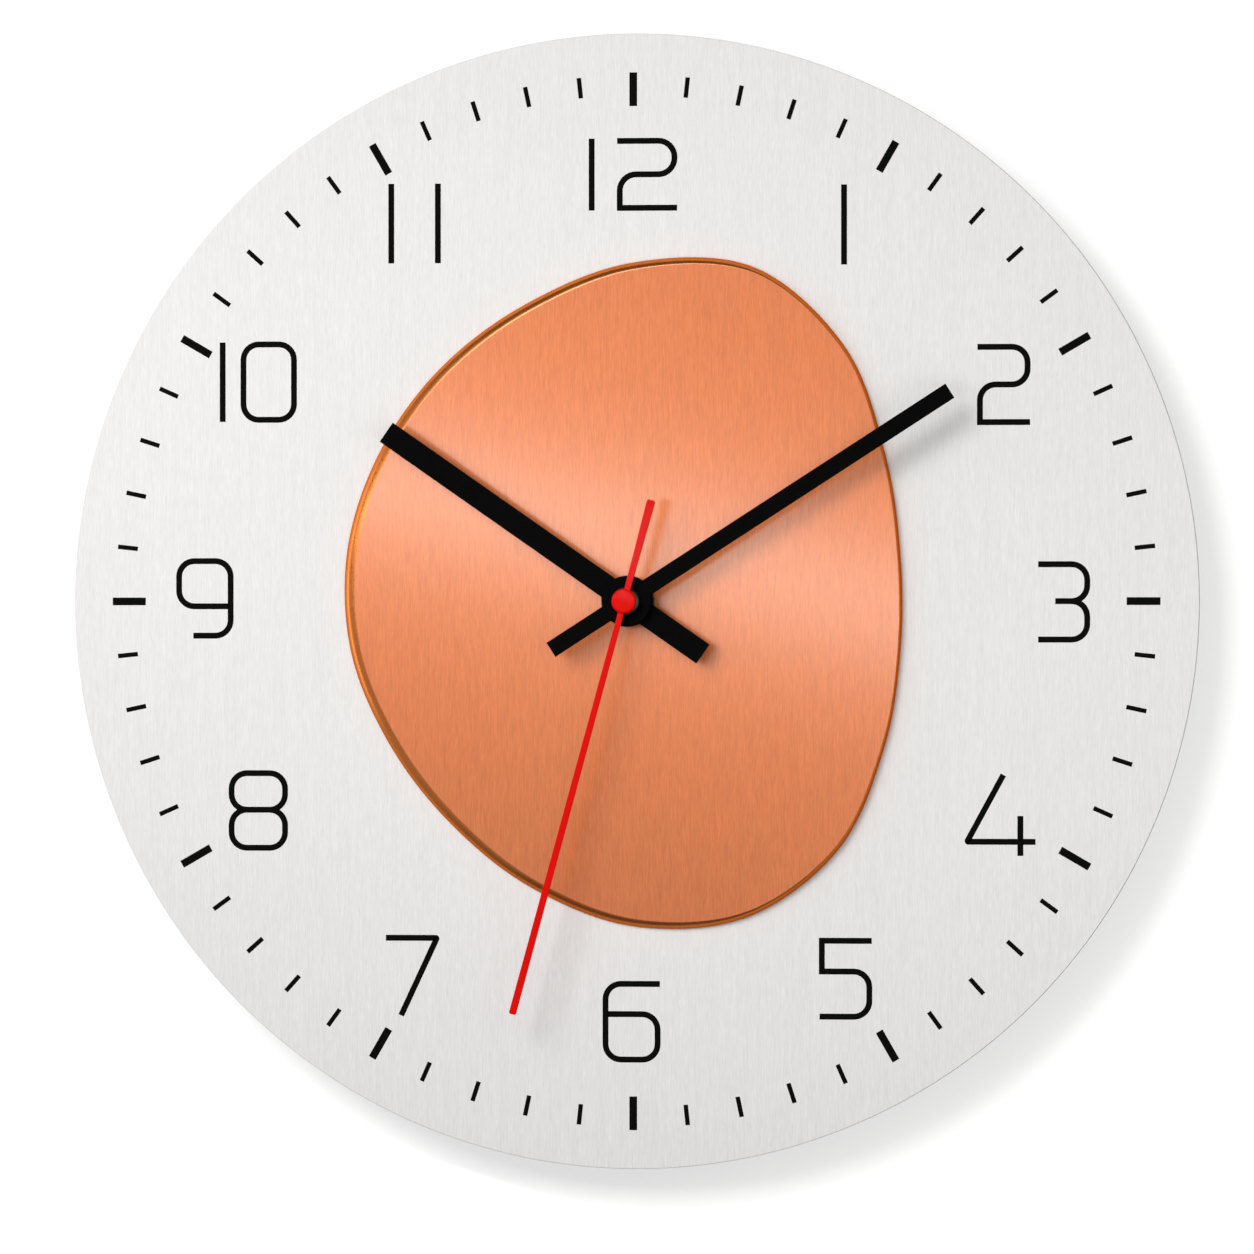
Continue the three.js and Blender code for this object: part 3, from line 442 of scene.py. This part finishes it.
# the middle of each figure as (x, z) from the dial's middle
numeral_places = {
    1: (56.1, 99.3), 2: (98.4, 57.0), 3: (114.3, -0.2), 4: (97.2, -56.2), 5: (56.5, -99.5),
    6: (-0.5, -111.1), 7: (-59.0, -99.1), 8: (-100.5, -55.5), 9: (-114.9, 0.8),
    10: (-97.9, 58.2), 11: (-58.5, 100.1), 12: (0.0, 112.8),
}
run_together = (3, 4, 8)
for hour, strokes in numeral_strokes.items():
    pieces = [figure_stroke(*shape) for shape in strokes]
    gather = united if hour in run_together else joined
    numeral = gather(f"numeral_{hour}", pieces)
    x, z = numeral_places[hour]
    numeral.data.transform(Matrix.Translation((x * MM, dial_front, z * MM)))
    ink.give(numeral)
    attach(numeral, "clock")


# ---- copper-coloured plate ----
# A shallow egg-shaped tray pressed from sheet aluminium and anodised a copper colour. Its face
# is brushed like the dial; its leaning side is polished and turns into the face over a fine edge.
tray_low, tray_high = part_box("accent_plate")
tray_foot, tray_face = tray_high.y, tray_low.y
tray_height = tray_foot - tray_face
tray_lean = 1.7 * MM
tray_shift = 1.35 * MM
tray_wall = 0.9 * MM


def foot_outline():
    """The outer edge of the tray's foot, in order, from the plain plate's own mesh."""
    bm = bmesh.new()
    bm.from_mesh(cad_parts["accent_plate"].data)
    bmesh.ops.remove_doubles(bm, verts=bm.verts, dist=1e-6)
    level = 0.01 * MM
    outer = [v for v in bm.verts if abs(v.co.y - tray_foot) < level and any(
        abs(e.other_vert(v).co.y - tray_face) < level for e in v.link_edges)]
    outline = [v.co.copy() for v in sorted(outer, key=lambda v: math.atan2(v.co.x, v.co.z))]
    bm.free()
    return outline


def smooth_loop(points):
    """A closed curve through the points, as the edges of a bmesh in the plane y = 0."""
    curve = bpy.data.curves.new("outline", "CURVE")
    curve.dimensions = "3D"
    curve.resolution_u = 4
    spline = curve.splines.new("BEZIER")
    spline.bezier_points.add(len(points) - 1)
    spline.use_cyclic_u = True
    for bezier, point in zip(spline.bezier_points, points):
        bezier.co = (point.x, 0, point.z)
        bezier.handle_left_type = bezier.handle_right_type = "AUTO"
    holder = bpy.data.objects.new("outline", curve)
    bpy.context.scene.collection.objects.link(holder)
    bm = bmesh.new()
    bm.from_mesh(bpy.data.meshes.new_from_object(
        holder.evaluated_get(bpy.context.evaluated_depsgraph_get())))
    bpy.data.objects.remove(holder)
    bmesh.ops.remove_doubles(bm, verts=bm.verts, dist=1e-6)
    return bm


def copper_tray():
    """The tray's leaning side, the fine edge and the face with its hole, as one open sheet."""
    bm = smooth_loop(foot_outline())
    face = bmesh.ops.contextual_create(bm, geom=bm.edges)["faces"][0]
    if face.normal.y > 0:
        face.normal_flip()
    # the side swells from an upright foot to a crisp edge at the face
    edge_width = 0.22 * MM
    crest = math.radians(68)
    stages = 9
    across = up = 0
    for stage in range(1, stages + 1):
        swell = crest * stage / stages
        further = (1 - math.cos(swell)) / (1 - math.cos(crest))
        higher = math.sin(swell) / math.sin(crest)
        bmesh.ops.inset_region(bm, faces=[face], thickness=(further - across) * tray_lean,
                               depth=0, use_even_offset=True, use_boundary=True)
        step = Vector((tray_shift * (further - across), -tray_height * (higher - up), 0))
        bmesh.ops.translate(bm, verts=face.verts, vec=step)
        across, up = further, higher
    bmesh.ops.inset_region(bm, faces=[face], thickness=edge_width, use_even_offset=True)
    rim = [loop.vert for loop in face.loops]
    bmesh.ops.delete(bm, geom=[face], context="FACES_ONLY")
    hole = []
    for vert in rim:
        reach = math.hypot(vert.co.x, vert.co.z)
        hole.append(bm.verts.new((vert.co.x / reach * stem_hole, vert.co.y,
                                  vert.co.z / reach * stem_hole)))
    for i in range(len(rim)):
        bm.faces.new((rim[i - 1], rim[i], hole[i], hole[i - 1]))
    bmesh.ops.translate(bm, verts=bm.verts, vec=(0, tray_foot, 0))
    bmesh.ops.recalc_face_normals(bm, faces=bm.faces)
    return mesh_piece("copper_tray", bm, 40)


tray = copper_tray()
if sum(p.normal.y * p.area for p in tray.data.polygons) > 0:
    tray.data.flip_normals()
copper_colour = (0.62, 0.178, 0.056)
copper_roughness = 0.5
copper_face = Finish("brushed_copper", copper_colour, copper_roughness, Metallic=1.0,
                     Anisotropic=0.35, Coat_Weight=1.0, Coat_Roughness=0.2, Coat_IOR=1.65)
brushed(copper_face, copper_colour, 0.13, copper_roughness)
copper_side = Finish("polished_copper", (0.82, 0.25, 0.065), 0.28, Metallic=1.0,
                     Specular_Tint=(0.8, 0.3, 0.1, 1))
copper_side.feed("Roughness", 0.24 + copper_side.noise(0.002) * 0.08)
copper_side.feed("Base Color", copper_side.blend(
    copper_side.noise(0.01), (0.76, 0.21, 0.05), (0.88, 0.29, 0.08)))
copper_face.give(tray)
copper_side.give(tray)
flat = 0.99
for polygon in tray.data.polygons:
    polygon.material_index = 0 if polygon.normal.y < -flat else 1
sheet = tray.modifiers.new("sheet", "SOLIDIFY")
sheet.thickness = tray_wall
sheet.offset = -1
sheet.use_even_offset = True
crisp(baked(tray), 40)
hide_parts("accent_plate")
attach(tray, "clock")


# ---- stem, gasket, washer, nut ----
# The movement's threaded stem, turned from brass, comes through the dial. A rubber gasket lies
# behind the dial, and a blackened washer and hexagon nut clamp the dial and the tray on the thread.
brass = Finish("turned_brass", (0.72, 0.48, 0.17), 0.28, Metallic=1.0)
brass.feed("Base Color", brass.blend(brass.noise(0.004), (0.66, 0.42, 0.13), (0.78, 0.54, 0.21)))
brass.feed("Roughness", 0.22 + brass.noise(0.0006) * 0.16)
brass.bump(brass.noise(0.0003, 1.0, (1, 0.2, 1)), 0.00001, 0.5)
gunmetal = Finish("black_nickel", (0.05, 0.053, 0.06), 0.3, Metallic=1.0)
gunmetal.feed("Roughness", 0.26 + gunmetal.noise(0.0008) * 0.12)
gunmetal.feed("Base Color", gunmetal.blend(gunmetal.noise(0.002), (0.04, 0.043, 0.05),
                                           (0.07, 0.073, 0.08)))


def threaded(outer, root, back, front, pitch, bore, lead):
    """The section of a threaded tube from its front, where the thread is cut away by the lead."""
    points = [(bore, front), (outer - lead, front), (outer, front + lead)]
    y = front + lead
    while y + pitch < back:
        points += [(outer, y + 0.12 * pitch), (root, y + 0.45 * pitch), (root, y + 0.55 * pitch),
                   (outer, y + 0.88 * pitch)]
        y += pitch
    return points + [(outer, back), (bore, back)]


stem_low, stem_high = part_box("threaded_stem")
stem_radius = stem_high.x
stem_bore = 2.72 * MM
thread_depth, thread_pitch, thread_lead = 0.3 * MM, 0.75 * MM, 0.3 * MM
stem = turned("threaded_tube", threaded(
    stem_radius, stem_radius - thread_depth, stem_high.y, stem_low.y, thread_pitch, stem_bore,
    thread_lead))
brass.give(stem)
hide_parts("threaded_stem")
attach(stem, "clock")

washer_low, washer_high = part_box("stem_washer")
washer = turned("round_washer", ring_section(
    stem_hole, washer_high.x, washer_low.y, washer_high.y, 0.12 * MM))
gunmetal.give(washer)
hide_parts("stem_washer")
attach(washer, "clock")

hexagon_low, hexagon_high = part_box("stem_nut")


def chamfered_nut(name, half_flats, bore, front, back, chamfer):
    """A hexagon nut whose corners are chamfered by a cone at both ends."""
    steps = 120
    inside = 0.25 * MM
    circle = half_flats * 0.99
    bm = bmesh.new()
    rings = [[] for _ in range(8)]
    for step in range(steps):
        angle = 2 * math.pi * step / steps
        off_flat = (angle + math.pi / 6) % (math.pi / 3) - math.pi / 6
        corner = half_flats / math.cos(off_flat)
        drop = (corner - circle) * chamfer
        levels = ((bore, front + inside), (bore + inside, front), (circle, front),
                  (corner, front + drop), (corner, back - drop), (circle, back),
                  (bore + inside, back), (bore, back - inside))
        for ring, (radius, y) in zip(rings, levels):
            ring.append(bm.verts.new((radius * math.sin(angle + math.pi / 6), y,
                                      radius * math.cos(angle + math.pi / 6))))
    for ring, following in zip(rings, rings[1:] + rings[:1]):
        for i in range(steps):
            j = (i + 1) % steps
            bm.faces.new((ring[i], ring[j], following[j], following[i]))
    return mesh_piece(name, bm, 25)


play = 0.05 * MM
nut = chamfered_nut("hexagon_nut", hexagon_high.z, stem_radius + play, hexagon_low.y,
                    hexagon_high.y, chamfer=0.55)
gunmetal.give(nut)
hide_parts("stem_nut")
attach(nut, "clock")

gasket_low, gasket_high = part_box("stem_gasket")
rubber = Finish("black_rubber", (0.02, 0.02, 0.02), 0.75)
rubber.feed("Base Color", rubber.blend(rubber.noise(0.002), (0.014, 0.014, 0.014),
                                       (0.03, 0.03, 0.03)))
rubber.bump(rubber.noise(0.0003), 0.00003)
gasket = turned("rubber_gasket", ring_section(
    stem_hole, gasket_high.x, gasket_low.y, gasket_high.y, 0.2 * MM))
rubber.give(gasket)
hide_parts("stem_gasket")
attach(gasket, "clock")


# ---- hands ----
# Hour and minute hands stamped from thin sheet aluminium and lacquered matt black: plain bars
# that run through a round hub and end square. Their edges are slightly rolled by the stamping.
hour_angle = math.radians(304.77)
minute_angle = math.radians(57.25)
second_angle = math.radians(195.3)


def stamped(name, outlines, front, back, bevel, angle, segments=2):
    """A flat piece with rounded edges from closed outlines in the x-z plane, turned clockwise."""
    curve = bpy.data.curves.new(name, "CURVE")
    curve.dimensions = "2D"
    curve.fill_mode = "BOTH"
    curve.extrude = (back - front) / 2 - bevel
    curve.bevel_depth = bevel
    curve.bevel_resolution = segments
    curve.offset = -bevel
    for outline in outlines:
        spline = curve.splines.new("POLY")
        spline.points.add(len(outline) - 1)
        spline.use_cyclic_u = True
        for point, (x, z) in zip(spline.points, outline):
            point.co = (x, z, 0, 1)
    holder = bpy.data.objects.new(name + "_outline", curve)
    bpy.context.scene.collection.objects.link(holder)
    bm = bmesh.new()
    bm.from_mesh(bpy.data.meshes.new_from_object(
        holder.evaluated_get(bpy.context.evaluated_depsgraph_get())))
    bpy.data.objects.remove(holder)
    stand = (Matrix.Rotation(angle, 4, "Y") @ Matrix.Translation((0, (front + back) / 2, 0))
             @ Matrix.Rotation(math.radians(90), 4, "X"))
    bmesh.ops.transform(bm, matrix=stand, verts=bm.verts)
    bmesh.ops.remove_doubles(bm, verts=bm.verts, dist=1e-6)
    return mesh_piece(name, bm)


def arc(radius, start, end, steps):
    """Points on a circle, from one clock angle to another."""
    angles = [start + (end - start) * i / steps for i in range(steps + 1)]
    return [(radius * math.sin(a), radius * math.cos(a)) for a in angles]


def pipe_hole(radius, steps=48):
    """The outline of a round hole, which runs the other way than the outlines round it."""
    closing = 0.1
    return arc(radius, 2 * math.pi, closing, steps)


def bar_with_hub(reach, tail, width, hub):
    """The outline of a straight hand: a bar through a round hub."""
    half = width / 2
    meet = math.asin(half / hub)
    right = arc(hub, meet, math.pi - meet, 32)
    left = arc(hub, math.pi + meet, 2 * math.pi - meet, 32)
    return [(-half, reach), (half, reach), *right, (half, -tail), (-half, -tail), *left]


black = Finish("black_lacquer", (0.002, 0.002, 0.002), 0.5, Specular_IOR_Level=0.02)
black.feed("Base Color", black.blend(black.noise(0.003), (0.0012, 0.0012, 0.0012),
                                     (0.0022, 0.0022, 0.0022)))
black.feed("Roughness", 0.46 + black.noise(0.001) * 0.1)
black.bump(black.noise(0.00012), 0.000006, 0.5)

hour_pipe = 2.6 * MM
minute_pipe = 1.6 * MM
hour_low, hour_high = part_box("hour_hand")
hour_outline = bar_with_hub(reach=78.3 * MM, tail=24.4 * MM, width=6.1 * MM, hub=6.75 * MM)
hour_hand = stamped("hour_bar", [hour_outline, pipe_hole(hour_pipe)],
                    hour_low.y, hour_high.y, 0.1 * MM, hour_angle)
black.give(hour_hand)
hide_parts("hour_hand")
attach(hour_hand, "hours")

minute_low, minute_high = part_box("minute_hand")
minute_outline = bar_with_hub(reach=101.9 * MM, tail=23.7 * MM, width=4.4 * MM, hub=6.55 * MM)
minute_hand = stamped("minute_bar", [minute_outline, pipe_hole(minute_pipe)],
                      minute_low.y, minute_high.y, 0.1 * MM, minute_angle)
black.give(minute_hand)
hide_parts("minute_hand")
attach(minute_hand, "minutes")


# ---- collets and minute nut ----
# Each hand is riveted to a turned and blackened brass collet that grips its pipe. A small round
# nut with a domed front, screwed on the minute pipe, holds the minute hand.
for node, outer, bore, rider in (("hour_collet", 3.9 * MM, hour_pipe, "hours"),
                                 ("minute_collet", 3.0 * MM, minute_pipe, "minutes")):
    low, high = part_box(node)
    collet = turned(node + "_ring", ring_section(
        bore + 0.02 * MM, outer, low.y, high.y, 0.15 * MM))
    gunmetal.give(collet)
    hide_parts(node)
    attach(collet, rider)

nut_low, nut_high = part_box("minute_nut")
nut_bore, nut_radius, nut_chamfer = minute_pipe + play, nut_high.x, 0.1 * MM
# how far each point of the domed front lies inside the rim and behind the front, in millimetres
nut_dome = ((0.7, 0), (0.45, 0.05), (0.2, 0.18), (0.05, 0.4), (0, 0.65))
round_nut = turned("round_nut", [
    (nut_bore, nut_low.y),
    *((nut_radius - inside * MM, nut_low.y + behind * MM) for inside, behind in nut_dome),
    (nut_radius, nut_high.y - nut_chamfer), (nut_radius - nut_chamfer, nut_high.y),
    (nut_bore, nut_high.y)])
gunmetal.give(round_nut)
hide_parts("minute_nut")
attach(round_nut, "minutes")


# ---- second hand ----
# A long thin hand stamped from aluminium, lacquered bright red, narrow at the neck and a little
# wider at its two ends. Its steel tube grips the seconds arbor, and a red cap covers the rivet.
red = Finish("red_lacquer", (0.84, 0.002, 0.0003), 0.35, Specular_IOR_Level=0.05,
             Coat_Weight=0.05, Coat_Roughness=0.08)
red.feed("Base Color", red.blend(red.noise(0.003), (0.82, 0.0015, 0.0002), (0.9, 0.003, 0.0005)))
red.feed("Roughness", 0.32 + red.noise(0.001) * 0.08)
red.bump(red.noise(0.0002), 0.000005, 0.4)

second_low, second_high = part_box("second_hand")
second_arbor = 0.5 * MM
reach, tail = 112.7 * MM, 27.5 * MM
neck = 1.6 * MM / 2
tip_half, tail_half = 1.95 * MM / 2, 2.3 * MM / 2
hub = 2.2 * MM
cut = 0.35 * MM
meet = math.asin(neck / hub)
needle = [(-tip_half, reach - cut), (-tip_half + cut, reach),
          (tip_half - cut, reach), (tip_half, reach - cut),
          *arc(hub, meet, math.pi - meet, 16),
          (tail_half, -tail + cut), (tail_half - cut, -tail),
          (-tail_half + cut, -tail), (-tail_half, -tail + cut),
          *arc(hub, math.pi + meet, 2 * math.pi - meet, 16)]
second_hand = stamped("second_needle", [needle, pipe_hole(second_arbor, 32)],
                      second_low.y, second_high.y, 0.2 * MM, second_angle, segments=3)
red.give(second_hand)
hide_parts("second_hand")
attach(second_hand, "seconds")

cap_low, cap_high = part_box("second_cap")
cap_radius = 3.25 * MM
cap_rise, cap_round, cap_chamfer = 0.03 * MM, 0.6 * MM, 0.08 * MM
cap_flat = cap_radius - 0.75 * MM
round_steps = 6
dome = [(0, cap_low.y), (cap_flat, cap_low.y + cap_rise)]
for step in range(1, round_steps + 1):
    angle = math.radians(90 * step / round_steps)
    dome.append((cap_radius - cap_round * (1 - math.sin(angle)),
                 cap_low.y + cap_rise + cap_round * (1 - math.cos(angle))))
cap = turned("red_cap", dome + [(cap_radius, cap_high.y - cap_chamfer),
                                (cap_radius - cap_chamfer, cap_high.y), (0, cap_high.y)])
red.give(cap)
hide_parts("second_cap")
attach(cap, "seconds")

tube_low, tube_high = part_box("second_tube")
steel = Finish("bright_steel", (0.62, 0.62, 0.63), 0.3, Metallic=1.0)
steel.feed("Roughness", 0.26 + steel.noise(0.001) * 0.14)
steel.feed("Base Color", steel.blend(steel.noise(0.006), (0.56, 0.56, 0.58), (0.68, 0.68, 0.69)))
tube_radius = 1.15 * MM
tube = turned("steel_tube", ring_section(
    second_arbor + 0.02 * MM, tube_radius, tube_low.y, tube_high.y, 0.1 * MM), steps=48)
steel.give(tube)
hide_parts("second_tube")
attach(tube, "seconds")


# ---- movement case ----
# Two mouldings of black plastic: a deep front half with the battery bay, and a lid over the
# wheels. Their corners are rounded by the mould and their faces are finely textured.


def softened(name, node, width):
    """A copy of a plain node with its sharp corners rounded."""
    sharp = math.radians(30)
    bm = bmesh.new()
    bm.from_mesh(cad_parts[node].data)
    bmesh.ops.remove_doubles(bm, verts=bm.verts, dist=1e-6)
    bmesh.ops.dissolve_limit(bm, angle_limit=math.radians(0.5), verts=bm.verts, edges=bm.edges)
    bmesh.ops.recalc_face_normals(bm, faces=bm.faces)
    corners = [e for e in bm.edges if len(e.link_faces) == 2 and e.calc_face_angle(0) > sharp]
    bmesh.ops.bevel(bm, geom=corners, offset=width, offset_type="OFFSET", segments=2,
                    profile=0.5, affect="EDGES", clamp_overlap=True, material=-1)
    return mesh_piece(name, bm)


plastic = Finish("black_plastic", (0.02, 0.02, 0.021), 0.5)
plastic.feed("Base Color", plastic.blend(plastic.noise(0.004), (0.015, 0.015, 0.016),
                                         (0.026, 0.026, 0.027)))
plastic.feed("Roughness", 0.45 + plastic.noise(0.0008) * 0.15)
plastic.bump(plastic.noise(0.00025, 3.0), 0.00003, 0.6)
for name, node in (("case_body", "case_front"), ("case_lid", "case_rear")):
    half = softened(name, node, 0.2 * MM)
    plastic.give(half)
    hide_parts(node)
    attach(half, "clock")


# ---- hanger ----
# A strip of zinc-plated steel, pressed with a step so that its keyhole stands clear of the wall
# above the case. It is clamped between the case and the gasket.
zinc = Finish("zinc_plate", (0.58, 0.58, 0.57), 0.38, Metallic=1.0)
spangle = zinc.noise(0.003, 3.0)
zinc.feed("Base Color", zinc.blend(spangle, (0.48, 0.48, 0.48), (0.68, 0.68, 0.66)))
zinc.feed("Roughness", 0.3 + spangle * 0.2)
zinc.bump(zinc.noise(0.0008), 0.00002, 0.5)
hanger = softened("keyhole_hanger", "hanger_plate", 0.12 * MM)
zinc.give(hanger)
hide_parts("hanger_plate")
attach(hanger, "clock")


# ---- battery cell ----
# An AA cell: a drawn steel can in a printed plastic sleeve, open at both ends, with the
# positive nub at one end and the flat negative end against the spring.
cell_low, cell_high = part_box("battery_cell")
cell_y, cell_z = (cell_low.y + cell_high.y) / 2, (cell_low.z + cell_high.z) / 2
cell_radius = (cell_high.z - cell_low.z) / 2
nub = 2.75 * MM
shoulder = cell_high.x - 1.2 * MM
# the rounding of each end: how far inside the sleeve's surface and how far in from the end, in
# millimetres
flat_end = ((0.9, 0), (0.5, 0.3), (0.1, 0.5), (0, 0.7))
nub_end = ((0, 1.2), (0.1, 1.0), (0.3, 0.9), (0.5, 0.3), (1.0, 0))
section = [(0, cell_low.x),
           *((cell_radius - inside * MM, cell_low.x + along * MM) for inside, along in flat_end),
           *((cell_radius - inside * MM, shoulder - along * MM) for inside, along in nub_end),
           (nub + 0.3 * MM, shoulder), (nub, shoulder + 0.25 * MM), (nub, cell_high.x - 0.4 * MM),
           (nub - 0.4 * MM, cell_high.x), (0, cell_high.x)]
bm = bmesh.new()
ring = [bm.verts.new((x, cell_y, cell_z + radius)) for radius, x in section]
path = [bm.edges.new(pair) for pair in zip(ring, ring[1:])]
bmesh.ops.spin(bm, geom=ring + path, cent=(0, cell_y, cell_z), axis=(1, 0, 0),
               angle=2 * math.pi, steps=96, use_merge=True)
cell = mesh_piece("aa_cell", bm)
sleeve = Finish("cell_sleeve", (0.02, 0.05, 0.16), 0.3)
sleeve_x = sleeve.node("ShaderNodeSeparateXYZ", {}, {"Vector": sleeve.place}, "X")
gold_length = 14 * MM
band = sleeve_x > (shoulder - gold_length)
base = sleeve.blend(sleeve.noise(0.01), (0.015, 0.04, 0.13), (0.02, 0.05, 0.16))
sleeve.feed("Base Color", sleeve.blend(band, base, (0.55, 0.4, 0.16)))
sleeve.feed("Roughness", 0.26 + sleeve.noise(0.002) * 0.1)
sleeve.give(cell)
steel.give(cell)
sleeve_edge = cell_radius - 0.35 * MM
for polygon in cell.data.polygons:
    off_axis = math.hypot(polygon.center.y - cell_y, polygon.center.z - cell_z)
    polygon.material_index = 0 if off_axis > sleeve_edge else 1
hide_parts("battery_cell")
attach(cell, "clock")


# ---- setting knob and screws ----
# A small knob moulded of white plastic with a fluted edge for a fingertip, pressed on the minute
# wheel's arbor. Two steel screws hold the lid.
ivory = Finish("white_plastic", (0.7, 0.7, 0.67), 0.4)
ivory.feed("Base Color", ivory.blend(ivory.noise(0.003), (0.66, 0.66, 0.63), (0.74, 0.74, 0.71)))
ivory.bump(ivory.noise(0.0004), 0.00001)
knob_low, knob_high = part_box("setting_knob")
knob_x, knob_z = (knob_low.x + knob_high.x) / 2, (knob_low.z + knob_high.z) / 2
knob_radius = (knob_high.x - knob_low.x) / 2
knob_bore = 0.52 * MM
knob_chamfer = 0.35 * MM
knob_dish, knob_rim = 0.5 * MM, 1.2 * MM
flutes = 20
flute_steps = 8 * flutes
bm = bmesh.new()
rings = [[] for _ in range(6)]
for step in range(flute_steps):
    angle = 2 * math.pi * step / flute_steps
    edge = knob_radius * (0.975 + 0.025 * math.cos(flutes * angle))
    levels = ((knob_bore, knob_high.y - knob_dish), (knob_bore, knob_low.y), (edge, knob_low.y),
              (edge, knob_high.y - knob_chamfer), (edge - knob_chamfer, knob_high.y),
              (knob_radius - knob_rim, knob_high.y))
    for ring, (radius, y) in zip(rings, levels):
        ring.append(bm.verts.new((knob_x + radius * math.sin(angle), y,
                                  knob_z + radius * math.cos(angle))))
for ring, following in zip(rings, rings[1:]):
    for i in range(flute_steps):
        bm.faces.new((ring[i - 1], ring[i], following[i], following[i - 1]))
bm.faces.new(rings[0])
bm.faces.new(rings[-1])
knob = mesh_piece("fluted_knob", bm)
ivory.give(knob)
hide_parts("setting_knob")
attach(knob, "setter")

for node in ("case_screw_1", "case_screw_2"):
    screw = softened(node + "_head", node, 0.12 * MM)
    steel.give(screw)
    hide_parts(node)
    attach(screw, "clock")


# ---- inner parts ----
# The movement behind the dial: moulded wheels, steel contacts and stator, the coil and its board,
# and the parts that hold the plate to the dial.


def refinish(finish, *names):
    """Gives plain nodes a finish in place of their plain colour."""
    for name in names:
        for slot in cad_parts[name].material_slots:
            slot.link = "OBJECT"
            slot.material = finish.material


foam = Finish("grey_foam", (0.12, 0.12, 0.12), 0.95)
foam.feed("Base Color", foam.blend(foam.noise(0.0004), (0.06, 0.06, 0.06), (0.2, 0.2, 0.2)))
foam.bump(foam.noise(0.0004), 0.0002)
board = Finish("green_board", (0.02, 0.16, 0.06), 0.4)
board.feed("Base Color", board.blend(board.noise(0.0012), (0.015, 0.12, 0.045),
                                     (0.03, 0.2, 0.08)))
wire = Finish("copper_wire", (0.6, 0.2, 0.06), 0.35, Metallic=1.0)
lay = wire.node("ShaderNodeTexWave", {"bands_direction": "Z"},
                {"Vector": wire.place, "Scale": 900.0})
wire.feed("Base Color", wire.blend(lay, (0.35, 0.09, 0.025), (0.75, 0.3, 0.1)))
wire.bump(lay, 0.00005)
magnet = Finish("ferrite", (0.05, 0.05, 0.055), 0.5, Metallic=0.6)
magnet.feed("Base Color", magnet.blend(magnet.noise(0.0006), (0.035, 0.035, 0.04),
                                       (0.07, 0.07, 0.075)))
refinish(ivory, "coil_bobbin", "intermediate_wheel", "seconds_wheel", "third_wheel",
         "centre_wheel", "minute_wheel", "hour_wheel", "rotor_pinion", "middle_plate",
         "minute_pipe", "plate_spacer")
refinish(steel, "contact_positive", "contact_negative", "contact_spring", "coil_core",
         "stator_plate", "seconds_arbor", "quartz_crystal")
refinish(foam, "foam_pad_1", "foam_pad_2", "foam_pad_3", "foam_pad_4")
refinish(board, "circuit_board")
refinish(plastic, "control_chip")
refinish(wire, "coil_winding")
refinish(magnet, "rotor_magnet")
